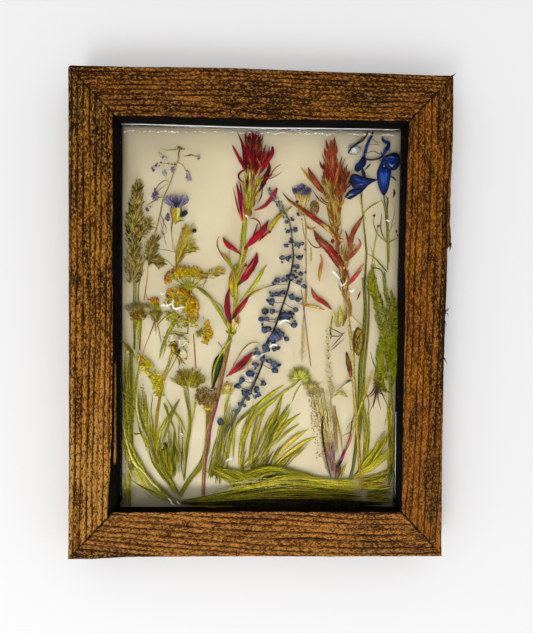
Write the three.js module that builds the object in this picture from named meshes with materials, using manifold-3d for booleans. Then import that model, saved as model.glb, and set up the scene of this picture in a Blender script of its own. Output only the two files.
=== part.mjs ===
// Pressed flower frame: four mitred softwood rails around a thin backing board, with an
// opaque cream ground poured on the board and a layer of clear resin over it, which holds
// the dried flowers. Millimetres. The frame lies on its back: X is its width, Y its height
// and +Z comes out of its face. The origin is the centre of the back.

import * as THREE from 'three';
import { mergeVertices } from 'three/addons/utils/BufferGeometryUtils.js';
import Module from 'manifold-3d';

const wasm = await Module();
wasm.setup();

// Driving dimensions.
const FRAME_WIDTH = 266;
const FRAME_HEIGHT = 341.5;
const FRAME_DEPTH = 28;
const HEAD_RAIL_FACE = 32.3;
const SIDE_RAIL_FACE = 30.5;
const MITRE_GAP = 0.4;
const OUTER_EDGE_RADIUS = 1.6;
const INNER_EDGE_RADIUS = 1.2;
const BACK_EDGE_CHAMFER = 0.8;
const RABBET_WIDTH = 9;
const RABBET_DEPTH = 7;
const BOARD_THICKNESS = 4;
const GROUND_THICKNESS = 2.2;
const RESIN_THICKNESS = 4.6;
const FIT_GAP = 0.3;

const BRAD_HEAD_RADIUS = 1.5;
const BRAD_HEAD_THICKNESS = 0.7;
const BRAD_SHANK_RADIUS = 0.7;
const BRAD_LENGTH = 13;
const BRAD_POINT_LENGTH = 1.8;
const BRAD_SIDES = 12;
const BRADS_ON_SHORT_RAIL = 3;
const BRADS_ON_LONG_RAIL = 4;
const BRAD_END_MARGIN = 46;

// Heights above the back face, worked out from the stack of layers.
const BOARD_FRONT = RABBET_DEPTH - FIT_GAP;
const BOARD_BACK = BOARD_FRONT - BOARD_THICKNESS;
const GROUND_BACK = RABBET_DEPTH;
const GROUND_FRONT = GROUND_BACK + GROUND_THICKNESS;
const RESIN_BACK = GROUND_FRONT + FIT_GAP;
const BRAD_HEAD_BACK = BOARD_BACK - FIT_GAP - BRAD_HEAD_THICKNESS;

const OPENING_WIDTH = FRAME_WIDTH - 2 * SIDE_RAIL_FACE;
const OPENING_HEIGHT = FRAME_HEIGHT - 2 * HEAD_RAIL_FACE;

const stainedWood = new THREE.MeshStandardMaterial({ color: 0x7d4d22, roughness: 0.6, metalness: 0 });
const plywood = new THREE.MeshStandardMaterial({ color: 0xb89468, roughness: 0.8, metalness: 0 });
const creamGround = new THREE.MeshStandardMaterial({ color: 0xdcceb0, roughness: 0.4, metalness: 0 });
const brightSteel = new THREE.MeshStandardMaterial({ color: 0xa6a6a2, roughness: 0.35, metalness: 1 });
const clearResin = new THREE.MeshStandardMaterial({
  color: 0xf4efdd,
  roughness: 0.05,
  metalness: 0,
  transparent: true,
  opacity: 0.3,
});

// A closed manifold solid from a three.js geometry, and the way back.
function toSolid(geometry) {
  const bare = geometry.clone();
  bare.deleteAttribute('normal');
  bare.deleteAttribute('uv');
  const merged = mergeVertices(bare);
  return new wasm.Manifold(new wasm.Mesh({
    numProp: 3,
    vertProperties: new Float32Array(merged.attributes.position.array),
    triVerts: new Uint32Array(merged.index.array),
  }));
}

function toGeometry(solid) {
  const mesh = solid.getMesh();
  const geometry = new THREE.BufferGeometry();
  geometry.setAttribute('position', new THREE.BufferAttribute(mesh.vertProperties, 3));
  geometry.setIndex(new THREE.BufferAttribute(mesh.triVerts, 1));
  geometry.computeVertexNormals();
  return geometry;
}

function cut(geometry, cutters) {
  let solid = toSolid(geometry);
  for (const cutter of cutters) {
    solid = solid.subtract(toSolid(cutter));
  }
  return toGeometry(solid);
}

// A straight hole for a brad, along Z from one height to another.
function bradHole(x, y, fromZ, toZ) {
  const radius = BRAD_SHANK_RADIUS + FIT_GAP;
  const hole = new THREE.CylinderGeometry(radius, radius, toZ - fromZ, BRAD_SIDES);
  hole.rotateX(Math.PI / 2);
  hole.translate(x, y, (fromZ + toZ) / 2);
  return hole;
}

// The rail's section. u runs inwards from the outer edge and v up from the back.
function railSection(face) {
  const outer = OUTER_EDGE_RADIUS;
  const inner = INNER_EDGE_RADIUS;
  const section = new THREE.Shape();
  section.moveTo(BACK_EDGE_CHAMFER, 0);
  section.lineTo(face - RABBET_WIDTH, 0);
  section.lineTo(face - RABBET_WIDTH, RABBET_DEPTH);
  section.lineTo(face, RABBET_DEPTH);
  section.lineTo(face, FRAME_DEPTH - inner);
  section.absarc(face - inner, FRAME_DEPTH - inner, inner, 0, Math.PI / 2);
  section.lineTo(outer, FRAME_DEPTH);
  section.absarc(outer, FRAME_DEPTH - outer, outer, Math.PI / 2, Math.PI);
  section.lineTo(0, BACK_EDGE_CHAMFER);
  section.closePath();
  return section;
}

// Places of the brads along a rail, evenly spaced between its end margins.
function bradPlaces(length, count) {
  const run = length - 2 * BRAD_END_MARGIN;
  return Array.from({ length: count }, (_, i) => -run / 2 + (i * run) / (count - 1));
}

// How far in from the outer edge the brads go, through the middle of the rabbet's shoulder.
function bradInset(rail) {
  return rail.face - RABBET_WIDTH / 2;
}

// A mitred rail along X with its outer edge on y = 0 and its inside towards +Y.
// Each end of the straight extrusion is sheared back in step with the inset, which makes the
// mitre: it reaches the inner corner, where the neighbour's own face ends.
function mitredRail(rail) {
  const options = { depth: 1, bevelEnabled: false, curveSegments: 4 };
  const geometry = new THREE.ExtrudeGeometry(railSection(rail.face), options);
  const setBack = MITRE_GAP / Math.SQRT2;
  const slope = rail.neighbourFace / rail.face;
  const position = geometry.attributes.position;
  for (let i = 0; i < position.count; i += 1) {
    const inset = position.getX(i);
    const height = position.getY(i);
    const side = position.getZ(i) > 0.5 ? 1 : -1;
    position.setXYZ(i, side * (rail.length / 2 - inset * slope - setBack), inset, height);
  }
  const holeTop = BRAD_HEAD_BACK + BRAD_LENGTH + FIT_GAP;
  const places = bradPlaces(rail.length, rail.brads);
  return cut(geometry, places.map((x) => bradHole(x, bradInset(rail), RABBET_DEPTH - 1, holeTop)));
}

// The four rails: how far each is turned from the bottom one, and where its outer edge is.
const HEAD_RAIL = {
  length: FRAME_WIDTH,
  face: HEAD_RAIL_FACE,
  neighbourFace: SIDE_RAIL_FACE,
  brads: BRADS_ON_SHORT_RAIL,
};
const SIDE_RAIL = {
  length: FRAME_HEIGHT,
  face: SIDE_RAIL_FACE,
  neighbourFace: HEAD_RAIL_FACE,
  brads: BRADS_ON_LONG_RAIL,
};
const RAILS = [
  { ...HEAD_RAIL, name: 'rail_bottom', turn: 0, x: 0, y: -FRAME_HEIGHT / 2 },
  { ...SIDE_RAIL, name: 'rail_right', turn: 1, x: FRAME_WIDTH / 2, y: 0 },
  { ...HEAD_RAIL, name: 'rail_top', turn: 2, x: 0, y: FRAME_HEIGHT / 2 },
  { ...SIDE_RAIL, name: 'rail_left', turn: 3, x: -FRAME_WIDTH / 2, y: 0 },
];

function placeRail(rail) {
  const mesh = new THREE.Mesh(mitredRail(rail), stainedWood);
  mesh.name = rail.name;
  mesh.position.set(rail.x, rail.y, 0);
  mesh.rotation.z = (rail.turn * Math.PI) / 2;
  return mesh;
}

// Where every brad goes in the frame's own axes, rail by rail.
function allBradPoints() {
  return RAILS.flatMap((rail) => bradPlaces(rail.length, rail.brads).map((along) => {
    const point = new THREE.Vector3(along, bradInset(rail), 0);
    point.applyAxisAngle(new THREE.Vector3(0, 0, 1), (rail.turn * Math.PI) / 2);
    return point.add(new THREE.Vector3(rail.x, rail.y, 0));
  }));
}

function slab(width, height, back, front) {
  const geometry = new THREE.BoxGeometry(width, height, front - back);
  geometry.translate(0, 0, (back + front) / 2);
  return geometry;
}

// The board lies in the rabbet, flat against its shoulder, with a hole for each brad.
function makeBackingBoard() {
  const spare = 2 * (RABBET_WIDTH - FIT_GAP);
  const board = slab(OPENING_WIDTH + spare, OPENING_HEIGHT + spare, BOARD_BACK, BOARD_FRONT);
  const holes = allBradPoints().map((p) => bradHole(p.x, p.y, BOARD_BACK - 1, BOARD_FRONT + 1));
  const mesh = new THREE.Mesh(cut(board, holes), plywood);
  mesh.name = 'backing_board';
  return mesh;
}

function makeLayer(name, material, back, thickness) {
  const width = OPENING_WIDTH - 2 * FIT_GAP;
  const height = OPENING_HEIGHT - 2 * FIT_GAP;
  const mesh = new THREE.Mesh(slab(width, height, back, back + thickness), material);
  mesh.name = name;
  return mesh;
}

// A flat-headed brad standing on its head, with a tapered point at the top.
function makeBrad(name, x, y) {
  const profile = [
    new THREE.Vector2(0, 0),
    new THREE.Vector2(BRAD_HEAD_RADIUS, 0),
    new THREE.Vector2(BRAD_HEAD_RADIUS, BRAD_HEAD_THICKNESS),
    new THREE.Vector2(BRAD_SHANK_RADIUS, BRAD_HEAD_THICKNESS),
    new THREE.Vector2(BRAD_SHANK_RADIUS, BRAD_LENGTH - BRAD_POINT_LENGTH),
    new THREE.Vector2(0, BRAD_LENGTH),
  ];
  const geometry = new THREE.LatheGeometry(profile, BRAD_SIDES);
  geometry.rotateX(Math.PI / 2);
  const mesh = new THREE.Mesh(geometry, brightSteel);
  mesh.name = name;
  mesh.position.set(x, y, BRAD_HEAD_BACK);
  return mesh;
}

const frame = new THREE.Group();
for (const rail of RAILS) {
  frame.add(placeRail(rail));
}
frame.add(makeBackingBoard());
frame.add(makeLayer('cream_ground', creamGround, GROUND_BACK, GROUND_THICKNESS));
frame.add(makeLayer('clear_resin', clearResin, RESIN_BACK, RESIN_THICKNESS));
allBradPoints().forEach((point, i) => frame.add(makeBrad(`board_brad_${i + 1}`, point.x, point.y)));

export default frame;
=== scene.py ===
"""Looks of a dried flower frame: mitred softwood rails, a cream ground, and wildflowers cast in
clear resin. Everything is in metres, in the frame's own axes: X across, Y up its length and
+Z out of its face. Flowers are laid out on a layout sheet, in the units named below."""

import math

import bmesh
import bpy
import numpy as np
from mathutils import Euler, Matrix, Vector
from mathutils.geometry import delaunay_2d_cdt


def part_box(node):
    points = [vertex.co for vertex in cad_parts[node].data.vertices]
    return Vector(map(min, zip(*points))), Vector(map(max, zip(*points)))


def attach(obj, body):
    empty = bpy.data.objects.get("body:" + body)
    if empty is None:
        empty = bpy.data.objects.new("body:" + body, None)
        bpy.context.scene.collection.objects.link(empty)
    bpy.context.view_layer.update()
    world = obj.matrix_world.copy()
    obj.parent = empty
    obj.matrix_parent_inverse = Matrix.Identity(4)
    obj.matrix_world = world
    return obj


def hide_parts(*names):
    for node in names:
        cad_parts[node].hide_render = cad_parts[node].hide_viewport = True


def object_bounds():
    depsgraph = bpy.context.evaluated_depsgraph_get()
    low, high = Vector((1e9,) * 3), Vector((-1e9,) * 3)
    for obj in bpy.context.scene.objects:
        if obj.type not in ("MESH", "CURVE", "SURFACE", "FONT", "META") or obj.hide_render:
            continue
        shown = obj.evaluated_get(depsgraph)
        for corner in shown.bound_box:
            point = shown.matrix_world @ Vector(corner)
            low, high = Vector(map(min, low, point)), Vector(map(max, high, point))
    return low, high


bl_info = {
    "name": "Dried Flower Frame",
    "version": (1, 0, 0),
    "blender": (4, 5, 0),
    "location": "3D View > Sidebar > Flower Frame",
    "description": "Builds the rails, resin and dried wildflowers of a small cast flower frame",
    "category": "Object",
}

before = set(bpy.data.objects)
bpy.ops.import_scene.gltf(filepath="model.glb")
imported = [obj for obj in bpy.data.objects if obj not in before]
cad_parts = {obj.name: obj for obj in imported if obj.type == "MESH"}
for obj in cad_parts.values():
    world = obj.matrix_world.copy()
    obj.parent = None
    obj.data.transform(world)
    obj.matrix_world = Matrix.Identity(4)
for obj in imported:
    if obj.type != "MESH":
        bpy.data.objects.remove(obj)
CAD_LOW, CAD_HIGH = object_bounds()
MM = 0.001

# ---------------------------------------------------------------- sizes taken from the frame
WIDTH = CAD_HIGH.x - CAD_LOW.x
HEIGHT = CAD_HIGH.y - CAD_LOW.y
DEPTH = CAD_HIGH.z
HEAD_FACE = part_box("rail_bottom")[1].y - CAD_LOW.y
SIDE_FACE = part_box("rail_left")[1].x - CAD_LOW.x
OPEN_X = WIDTH / 2 - SIDE_FACE
OPEN_Y = HEIGHT / 2 - HEAD_FACE
GROUND_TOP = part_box("cream_ground")[1].z
RABBET_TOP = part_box("cream_ground")[0].z
RABBET_WIDTH = (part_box("backing_board")[1].x - OPEN_X) + 0.3 * MM
RESIN_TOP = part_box("clear_resin")[1].z
RESIN_INDEX = 1.5                   # how strongly the resin bends light

# The walls of the opening aren't quite upright: how far each leans in over the resin, in metres.
WALL_LEAN = {"rail_bottom": -3.2 * MM, "rail_right": 0.9 * MM, "rail_top": 2.0 * MM, "rail_left": 1.7 * MM}
POOL_LOW = (-OPEN_X + WALL_LEAN["rail_left"], -OPEN_Y + WALL_LEAN["rail_bottom"])
POOL_HIGH = (OPEN_X - WALL_LEAN["rail_right"], OPEN_Y - WALL_LEAN["rail_top"])

# ---------------------------------------------------------------- the viewpoint and layout sheet
# The layout sheet is drawn as seen from the camera: units of one 533rd of the view's width,
# x from its left edge and y down from its top edge.
SHEET_WIDE, SHEET_HIGH = 533, 633
UNIT_MM = 0.72                      # millimetres of one unit at the flowers
FOCAL = 560.0
SENSOR = 36.0
CAMERA_PLACE = np.array([-8.2, 16.4, 421.3]) * MM
CAMERA_TURN = (math.radians(-2.28), math.radians(-1.77), math.radians(0.67))
CAMERA_AXES = np.array(Euler(CAMERA_TURN, "XYZ").to_matrix())


def xy(text):
    """Layout points written as "x,y x,y ..."."""
    return np.array([[float(v) for v in pair.split(",")] for pair in text.split()])


def place(points, height):
    """Layout points as points in the frame at a height above the ground layer, in metres.
    What lies under the resin looks nearer the surface than it is, so it is aimed from there."""
    points = np.atleast_2d(np.asarray(points, float))
    z = GROUND_TOP + np.broadcast_to(np.asarray(height, float), (len(points),))
    seen = np.where(z < RESIN_TOP, RESIN_TOP - (RESIN_TOP - z) / RESIN_INDEX, z)
    local = np.stack([(points[:, 0] - SHEET_WIDE / 2) / FOCAL, (SHEET_HIGH / 2 - points[:, 1]) / FOCAL,
                      -np.ones(len(points))], 1)
    rays = local @ CAMERA_AXES.T
    reach = (seen - CAMERA_PLACE[2]) / rays[:, 2]
    spots = CAMERA_PLACE + rays * reach[:, None]
    spots[:, 2] = z
    return spots


def linear(colour):
    """A hex sRGB colour as linear red, green and blue."""
    part = np.array([int(colour[i:i + 2], 16) for i in (0, 2, 4)]) / 255
    return np.where(part <= 0.04045, part / 12.92, ((part + 0.055) / 1.055) ** 2.4)


# ---------------------------------------------------------------- noise and curves
def hashed(ix, iy, iz, seed):
    """A number from 0 to 1 for each lattice point."""
    h = (ix * 374761393 + iy * 668265263 + iz * 2147483647 + seed * 1274126177) & 0xFFFFFFFF
    h = ((h ^ (h >> 13)) * 1274126177) & 0xFFFFFFFF
    return ((h ^ (h >> 16)) & 0xFFFF) / 65535.0


def noise(x, y, z=0.0, seed=0):
    """Smooth value noise from -1 to 1."""
    x, y, z = np.broadcast_arrays(np.asarray(x, float), np.asarray(y, float), np.asarray(z, float))
    cell = [np.floor(v).astype(np.int64) for v in (x, y, z)]
    part = [v - c for v, c in zip((x, y, z), cell)]
    ease = [p * p * (3 - 2 * p) for p in part]
    total = np.zeros(x.shape)
    for corner in range(8):
        step = [(corner >> k) & 1 for k in range(3)]
        weight = np.ones(x.shape)
        for e, s in zip(ease, step):
            weight = weight * (e if s else 1 - e)
        total += weight * hashed(cell[0] + step[0], cell[1] + step[1], cell[2] + step[2], seed)
    return total * 2 - 1


def layered(x, y, z=0.0, seed=0, layers=3):
    """Noise with finer layers added."""
    return sum(noise(x * 2 ** k, y * 2 ** k, z * 2 ** k, seed + k) / 2 ** k for k in range(layers))


def soft_step(low, high, value):
    """0 below low, 1 above high and a smooth rise between. With low above high it falls instead."""
    t = np.clip((value - low) / (high - low), 0, 1)
    return t * t * (3 - 2 * t)


def smooth_path(points, step):
    """A smooth curve through the points, with about one sample each step."""
    p = np.asarray(points, float)
    if len(p) == 2:
        count = max(2, int(np.linalg.norm(p[1] - p[0]) / step) + 1)
        return p[0] + (p[1] - p[0]) * np.linspace(0, 1, count)[:, None]
    ends = np.vstack([2 * p[0] - p[1], p, 2 * p[-1] - p[-2]])
    out = []
    for i in range(1, len(ends) - 2):
        a, b, c, d = ends[i - 1:i + 3]
        count = max(1, int(np.linalg.norm(c - b) / step))
        t = (np.arange(count) / count)[:, None]
        out.append(0.5 * (2 * b + (c - a) * t + (2 * a - 5 * b + 4 * c - d) * t ** 2
                          + (3 * b - a - 3 * c + d) * t ** 3))
    out.append(p[-1:])
    return np.vstack(out)


def spread(values, count):
    """Values spaced evenly along a run, read at count places."""
    values = np.atleast_2d(np.asarray(values, float).T).T
    stops = np.linspace(0, 1, len(values))
    where = np.linspace(0, 1, count)
    return np.stack([np.interp(where, stops, values[:, k]) for k in range(values.shape[1])], 1)


# ---------------------------------------------------------------- meshes
def make_object(name, verts, faces, material, smooth=True):
    """A mesh object in metres with one material, linked into the scene."""
    mesh = bpy.data.meshes.new(name)
    mesh.from_pydata(np.asarray(verts, float).tolist(), [], faces)
    mesh.polygons.foreach_set("use_smooth", [smooth] * len(mesh.polygons))
    mesh.materials.append(material)
    mesh.validate()
    mesh.update()
    obj = bpy.data.objects.new(name, mesh)
    bpy.context.scene.collection.objects.link(obj)
    return obj


def store(obj, name, kind, values):
    """Keeps a value for each vertex, for the materials to read."""
    field = {"FLOAT": "value", "FLOAT_VECTOR": "vector", "FLOAT_COLOR": "color"}[kind]
    layer = obj.data.attributes.new(name, kind, "POINT")
    layer.data.foreach_set(field, np.asarray(values, np.float32).ravel())


def grid_faces(rows, columns, closed_columns=False):
    """Quads of a grid whose vertices run row by row."""
    last = columns if closed_columns else columns - 1
    r, c = np.meshgrid(np.arange(rows - 1), np.arange(last), indexing="ij")
    n = (c + 1) % columns
    quads = np.stack([r * columns + c, r * columns + n, (r + 1) * columns + n, (r + 1) * columns + c], -1)
    return quads.reshape(-1, 4)


# ---------------------------------------------------------------- node helpers
def new_material(name):
    """A material with its node tree and its main shader."""
    material = bpy.data.materials.new(name)
    material.use_nodes = True
    return material, material.node_tree, material.node_tree.nodes["Principled BSDF"]


def node(tree, kind, inputs=(), **settings):
    """Adds a node, with its settings, and its inputs as values or as sockets to link from."""
    made = tree.nodes.new(kind)
    for key, value in settings.items():
        setattr(made, key, value)
    for socket, value in dict(inputs).items():
        if isinstance(value, bpy.types.NodeSocket):
            tree.links.new(value, made.inputs[socket])
        else:
            made.inputs[socket].default_value = value
    return made


def mixed(tree, share, first, second, blend="MIX"):
    """A colour between two, by a share from 0 to 1."""
    inputs = {"Factor": share, 6: first, 7: second}
    return node(tree, "ShaderNodeMix", inputs, data_type="RGBA", blend_type=blend).outputs[2]


def maths(tree, operation, first, second=0.5, clamp=False):
    """The result of one sum on two values."""
    made = node(tree, "ShaderNodeMath", {0: first, 1: second}, operation=operation, use_clamp=clamp)
    return made.outputs[0]


def ramp(tree, value, low, high, to_low=0.0, to_high=1.0):
    """A value mapped from one range to another, smoothly and clamped."""
    made = node(tree, "ShaderNodeMapRange", {"Value": value, "From Min": low, "From Max": high,
                                             "To Min": to_low, "To Max": to_high},
                interpolation_type="SMOOTHSTEP")
    return made.outputs["Result"]


def grains(tree, vector, scale, stretch=(1, 1, 1), detail=3.0, distortion=0.0, rough=0.5):
    """Noise over a vector, stretched along its axes."""
    mapped = node(tree, "ShaderNodeMapping", {"Vector": vector, "Scale": stretch})
    made = node(tree, "ShaderNodeTexNoise", {"Vector": mapped.outputs[0], "Scale": scale, "Detail": detail,
                                             "Distortion": distortion, "Roughness": rough})
    return made.outputs["Fac"]


def attribute(tree, name, output="Fac"):
    """A value stored on the mesh's vertices, as a socket."""
    return node(tree, "ShaderNodeAttribute", attribute_name=name).outputs[output]


def rgba(colour):
    """A hex sRGB colour as the linear colour that a node takes."""
    return (*linear(colour), 1.0)


# ---------------------------------------------------------------- rails
# A rail is worked in its own millimetres: along it, in from its outer edge, and up from its back.
# Growth lines are insets from the outer edge. Edge, wane and bevel are (along, size) pairs.
RAILS = {
    "rail_bottom": {
        "turn": 0, "length": WIDTH, "face": HEAD_FACE, "neighbour": SIDE_FACE, "seed": 11,
        "lines": [-9, -5.4, -1.6, 2.2, 5.6, 9.8, 14.4, 19.0, 23.2, 27.0, 30.6, 35],
        "lean": 0.055, "bow": -0.00025, "wobble": 0.9,
        "edge": [(-133, 2.0), (-120, 2.1), (-100, 1.0), (-89, 0.5), (-18, 0.3), (54, 0.6), (133, 0.6)],
        "brink": [(-105, 0), (-60, 0.2), (-20, 0.9), (20, 0.5), (105, 0.2)],
        "wane": [(-133, 0.8), (133, 0.8)], "bevel": [(-133, 0.6), (133, 0.7)],
        "early": "b4722a", "middle": "8f5319", "late": "241004", "fuzz": 0.55, "line": 0.3, "chatter": 0.5,
        "stain": [(-133, 0.3), (-112, 0.1), (-60, -0.05), (60, 0.05), (133, 0.22)], "patches": 0.5,
        "stipple": 1.0,
        "round": (0.5, 0.9),
        "dark": [(-122, 1.6, 24, 3.6, 1.0), (-100, 1.0, 26, 1.6, 0.6), (-108, 26, 12, 2.4, 0.5),
                 (120, 20, 12, 6, 0.3)],
    },
    "rail_right": {
        "turn": 1, "length": HEIGHT, "face": SIDE_FACE, "neighbour": HEAD_FACE, "seed": 23,
        "lines": [-10, -6, -2, 2.2, 6.4, 11.2, 16.2, 20.6, 25.0, 28.8, 33],
        "lean": 0.012, "bow": -0.00005, "wobble": 0.5,
        "edge": [(-171, 0), (-160, -0.5), (-131, -0.8), (-103, -1.3), (-60, -1.4), (-32, -1.3),
                 (-10, -1.2), (11, -1.0), (25, -0.7), (50.5, -0.5), (52.5, 2.1), (62, 1.8), (68, 1.1),
                 (89, 1.0), (132, 0.9), (165, 0.2), (171, 0)],
        "brink": [(-138, 0.4), (-60, 0.7), (0, 0.7), (22, 1.0), (34, 1.9), (90, 1.6), (138, 0.6)],
        "wane": [(-171, 0.6), (-80, 1.2), (-40, 2.2), (10, 3.0), (44, 3.4), (60, 6.0), (95, 5.0),
                 (112, 2.2), (130, 1.0), (171, 0.6)],
        "bevel": [(-171, 0.7), (171, 0.6)],
        "early": "965606", "middle": "6e3a04", "late": "160802", "fuzz": 0.16, "line": 0.19, "chatter": 0.15,
        "stain": [(-171, 0.27), (-100, 0.21), (0, 0.27), (60, 0.35), (171, 0.4)], "patches": 0.42,
        "stipple": 0.7,
        "round": (0.9, 1.2),
        "dark": [(150, 6, 20, 6, 0.4), (80, 8, 24, 2, 0.4), (-140, 5, 18, 3, 0.3), (68, 3.6, 14, 1.3, 1.3),
                 (66, -1.4, 14, 0.9, 1.4), (30, 4.6, 26, 0.75, 1.6), (30, 1.6, 26, 0.55, 1.4),
                 (-12, 4.2, 24, 2.0, 1.1), (-12, 1.2, 24, 0.6, 1.0), (-60, 5.4, 24, 3.0, 0.5)],
    },
    "rail_top": {
        "turn": 2, "length": WIDTH, "face": HEAD_FACE, "neighbour": SIDE_FACE, "seed": 37,
        "lines": [-9, -5, -1.2, 2.2, 5.2, 8.4, 11.8, 15.2, 18.6, 22.2, 26.0, 29.6, 34],
        "lean": 0.004, "bow": -0.00008, "wobble": 1.1,
        "edge": [(-133, 0), (-116, 0), (-82, 0.4), (-47, 0.6), (-13, 1.2), (22, 1.7), (56, 1.4), (91, 0.8),
                 (133, 0.8)],
        "brink": [(-105, 0.6), (-40, 1.2), (0, 2.2), (30, 2.2), (60, 1.6), (103, 1.4)],
        "wane": [(-133, 0.7), (133, 0.8)], "bevel": [(-133, 0.7), (0, 1.1), (30, 1.6), (133, 0.9)],
        "early": "935515", "middle": "5c2f0b", "late": "180a04", "fuzz": 0.6, "line": 0.3, "chatter": 1.0,
        "stain": [(-133, 0.1), (0, 0.14), (60, 0.0), (100, 0.02), (133, 0.2)], "patches": 0.52,
        "stipple": 0.84,
        "round": (1.2, 2.4),
        "dark": [(60, 29.2, 22, 0.5, 1.6), (34, 30.6, 16, 0.45, 1.2), (92, 30.8, 14, 0.4, 1.0),
                 (96, 7, 12, 5, 0.5), (10, 2, 30, 4, 0.4), (-60, 18, 20, 6, 0.3)],
    },
    "rail_left": {
        "turn": 3, "length": HEIGHT, "face": SIDE_FACE, "neighbour": HEAD_FACE, "seed": 53,
        "lines": [-11, -7, -3, 1.5, 5.4, 9.7, 14.4, 18.2, 21.6, 25.6, 29.4, 34],
        "lean": 0.012, "bow": 0.00004, "wobble": 0.7,
        "edge": [(-171, 0.65), (100, 0.8), (171, 1.5)],
        "brink": [(-138, 0.1), (138, 0.1)],
        "wane": [(-171, 0.7), (171, 0.8)],
        "bevel": [(-171, 0.6), (40, 0.8), (80, 1.4), (110, 3.0), (136, 4.4), (171, 4.4)],
        "early": "ae6e14", "middle": "774409", "late": "1c0c03", "fuzz": 0.5, "line": 0.29, "chatter": 0.45,
        "stain": [(-171, 0.6), (-120, 0.5), (-60, 0.22), (0, 0.04), (60, -0.14), (120, -0.5), (171, -0.46)],
        "round": (2.4, 0.5), "patches": 0.58, "stipple": 1.0,
        "dark": [(-122, 18.5, 12, 2.2, 1.0), (-135, 7, 6, 4, 0.6), (-60, 28.6, 34, 1.6, 0.8),
                 (-90, 9, 16, 1.2, 0.7), (-40, 12, 22, 1.2, 0.6), (20, 20, 20, 1.4, 0.5),
                 (-150, 3, 16, 2, 0.6), (60, 6, 20, 1.5, 0.5)],
    },
}
ALONG_STEP = 1.6                    # between the sections along a rail
MITRE_SLACK = 0.05                  # left open at each mitre
JOINT_STAIN = 1.6                   # how dark the end grain is along a mitre
KNOT_ALONG, KNOT_IN = 20.0, 26.5    # the middle of the top rail's knot
RING_TURN = 0.35                    # how far the growth lines lean over through the depth


def along_value(pairs, along):
    """The value at a place along a rail, read off its (along, value) pairs."""
    return np.interp(along, [p[0] for p in pairs], [p[1] for p in pairs])


def rail_loop(face, depth, rabbet_width, rabbet_top):
    """The rail's section as closely spaced points round it, and the outward direction of each."""
    corners = [(0, 0, 0.9, (-1, 0)), (0, depth, 0.45, (0, 1)), (face, depth, 0.7, (1, 0)),
               (face, rabbet_top, 3, (0, -1)), (face - rabbet_width, rabbet_top, 3, (1, 0)),
               (face - rabbet_width, 0, 6, (0, -1)), (0, 0, 0, (0, 0))]
    points, normals = [], []
    for (u0, v0, step, normal), (u1, v1, _, _) in zip(corners[:-1], corners[1:]):
        count = max(1, round(math.hypot(u1 - u0, v1 - v0) / step))
        for k in range(count):
            points.append((u0 + (u1 - u0) * k / count, v0 + (v1 - v0) * k / count))
            normals.append(normal)
    return np.array(points), np.array(normals, float)


def cut_corner(u, v, corner_u, corner_v, direction, size, drop):
    """Moves points beyond a bevel back onto it. size is its width on the face and drop its height."""
    over = direction * (u - corner_u) / size + (v - corner_v) / drop + 1
    over = np.maximum(over, 0)
    length = (1 / size) ** 2 + (1 / drop) ** 2
    return u - over * direction / size / length, v - over / drop / length


def ring_count(spec, along, inset, up, depth):
    """How many growth lines lie between the rail's outside and a point, as a smooth number."""
    drift = spec["lean"] * along + spec["bow"] * along ** 2
    wander = spec["wobble"] * layered(along / 38, inset / 14, up / 14, spec["seed"], 3)
    turned = inset + drift + wander - (depth - up) * RING_TURN
    if spec["turn"] == 2:
        away = np.hypot((along - KNOT_ALONG) / 2.4, inset - KNOT_IN)
        turned = turned + 3.2 * np.exp(-(away / 4.5) ** 2) * np.sign(inset - KNOT_IN)
    return np.interp(turned, spec["lines"], np.arange(len(spec["lines"])))


def surface_rise(spec, relief, ring, place_on_rail, sides):
    """How far the wood stands out from its plane: growth lines and torn fibres on its front, and
    gentle waves and pits on its outer and inner sides."""
    s, u, v = place_on_rail
    front, outer, inner = sides
    seed = spec["seed"]
    late = soft_step(1 - spec["line"] * 1.6, 0.98, ring % 1)
    pits = layered(s / 1.5, u / 0.8, v / 0.8, seed + 5, 2)
    rise = np.where(front, relief * (late - 0.35) + 0.10 * pits + 0.10 * noise(s / 24, u / 9, 0, seed + 2), 0)
    torn = np.abs(noise((s + u * 0.8) / 1.6, u / 5, 0, seed + 9))
    rise = rise - np.where(front, 0.16 * spec["chatter"] * torn, 0)
    wave = 0.14 * noise(s / 17, v / 9, 0, seed + 3) + 0.12 * noise(s / 3.1, v / 5, 0, seed + 4)
    rise = rise + np.where(outer, wave + 0.14 * pits + 0.2 * (late - 0.5), 0)
    rise = rise + np.where(inner, 0.10 * noise(s / 11, v / 5, 0, seed + 6) + 0.05 * pits, 0)
    return rise * soft_step(0.2, 2.5, v)


def painted_share(spec, s, v, from_brink, inner, down):
    """Where the inside paint covers the wood, from 0 to 1. The left rail has a bare strip."""
    painted = soft_step(0.35, 0.0, from_brink)
    painted = painted * soft_step(RABBET_TOP / MM, RABBET_TOP / MM + 1, v)
    painted = np.maximum(painted, inner * soft_step(0.04, 0.1, down))
    if spec["turn"] == 3:
        bare = inner * soft_step(0.08, 0.14, down) * soft_step(0.4, 0.32, down)
        painted = painted * (1 - bare * soft_step(25, 40, s) * soft_step(114, 96, s))
    return painted


def bark_share(s, from_outside, bark):
    """Where bark is left on a waney edge, from 0 to 1, by how wide the wane is there."""
    into_bark = from_outside / np.maximum(bark, 0.6)
    waned = soft_step(1.1, 0.75, into_bark) * soft_step(1.6, 2.6, bark)
    return waned * (1 - 0.75 * soft_step(0.62, 0.5, into_bark) * soft_step(20, 40, s))


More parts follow.
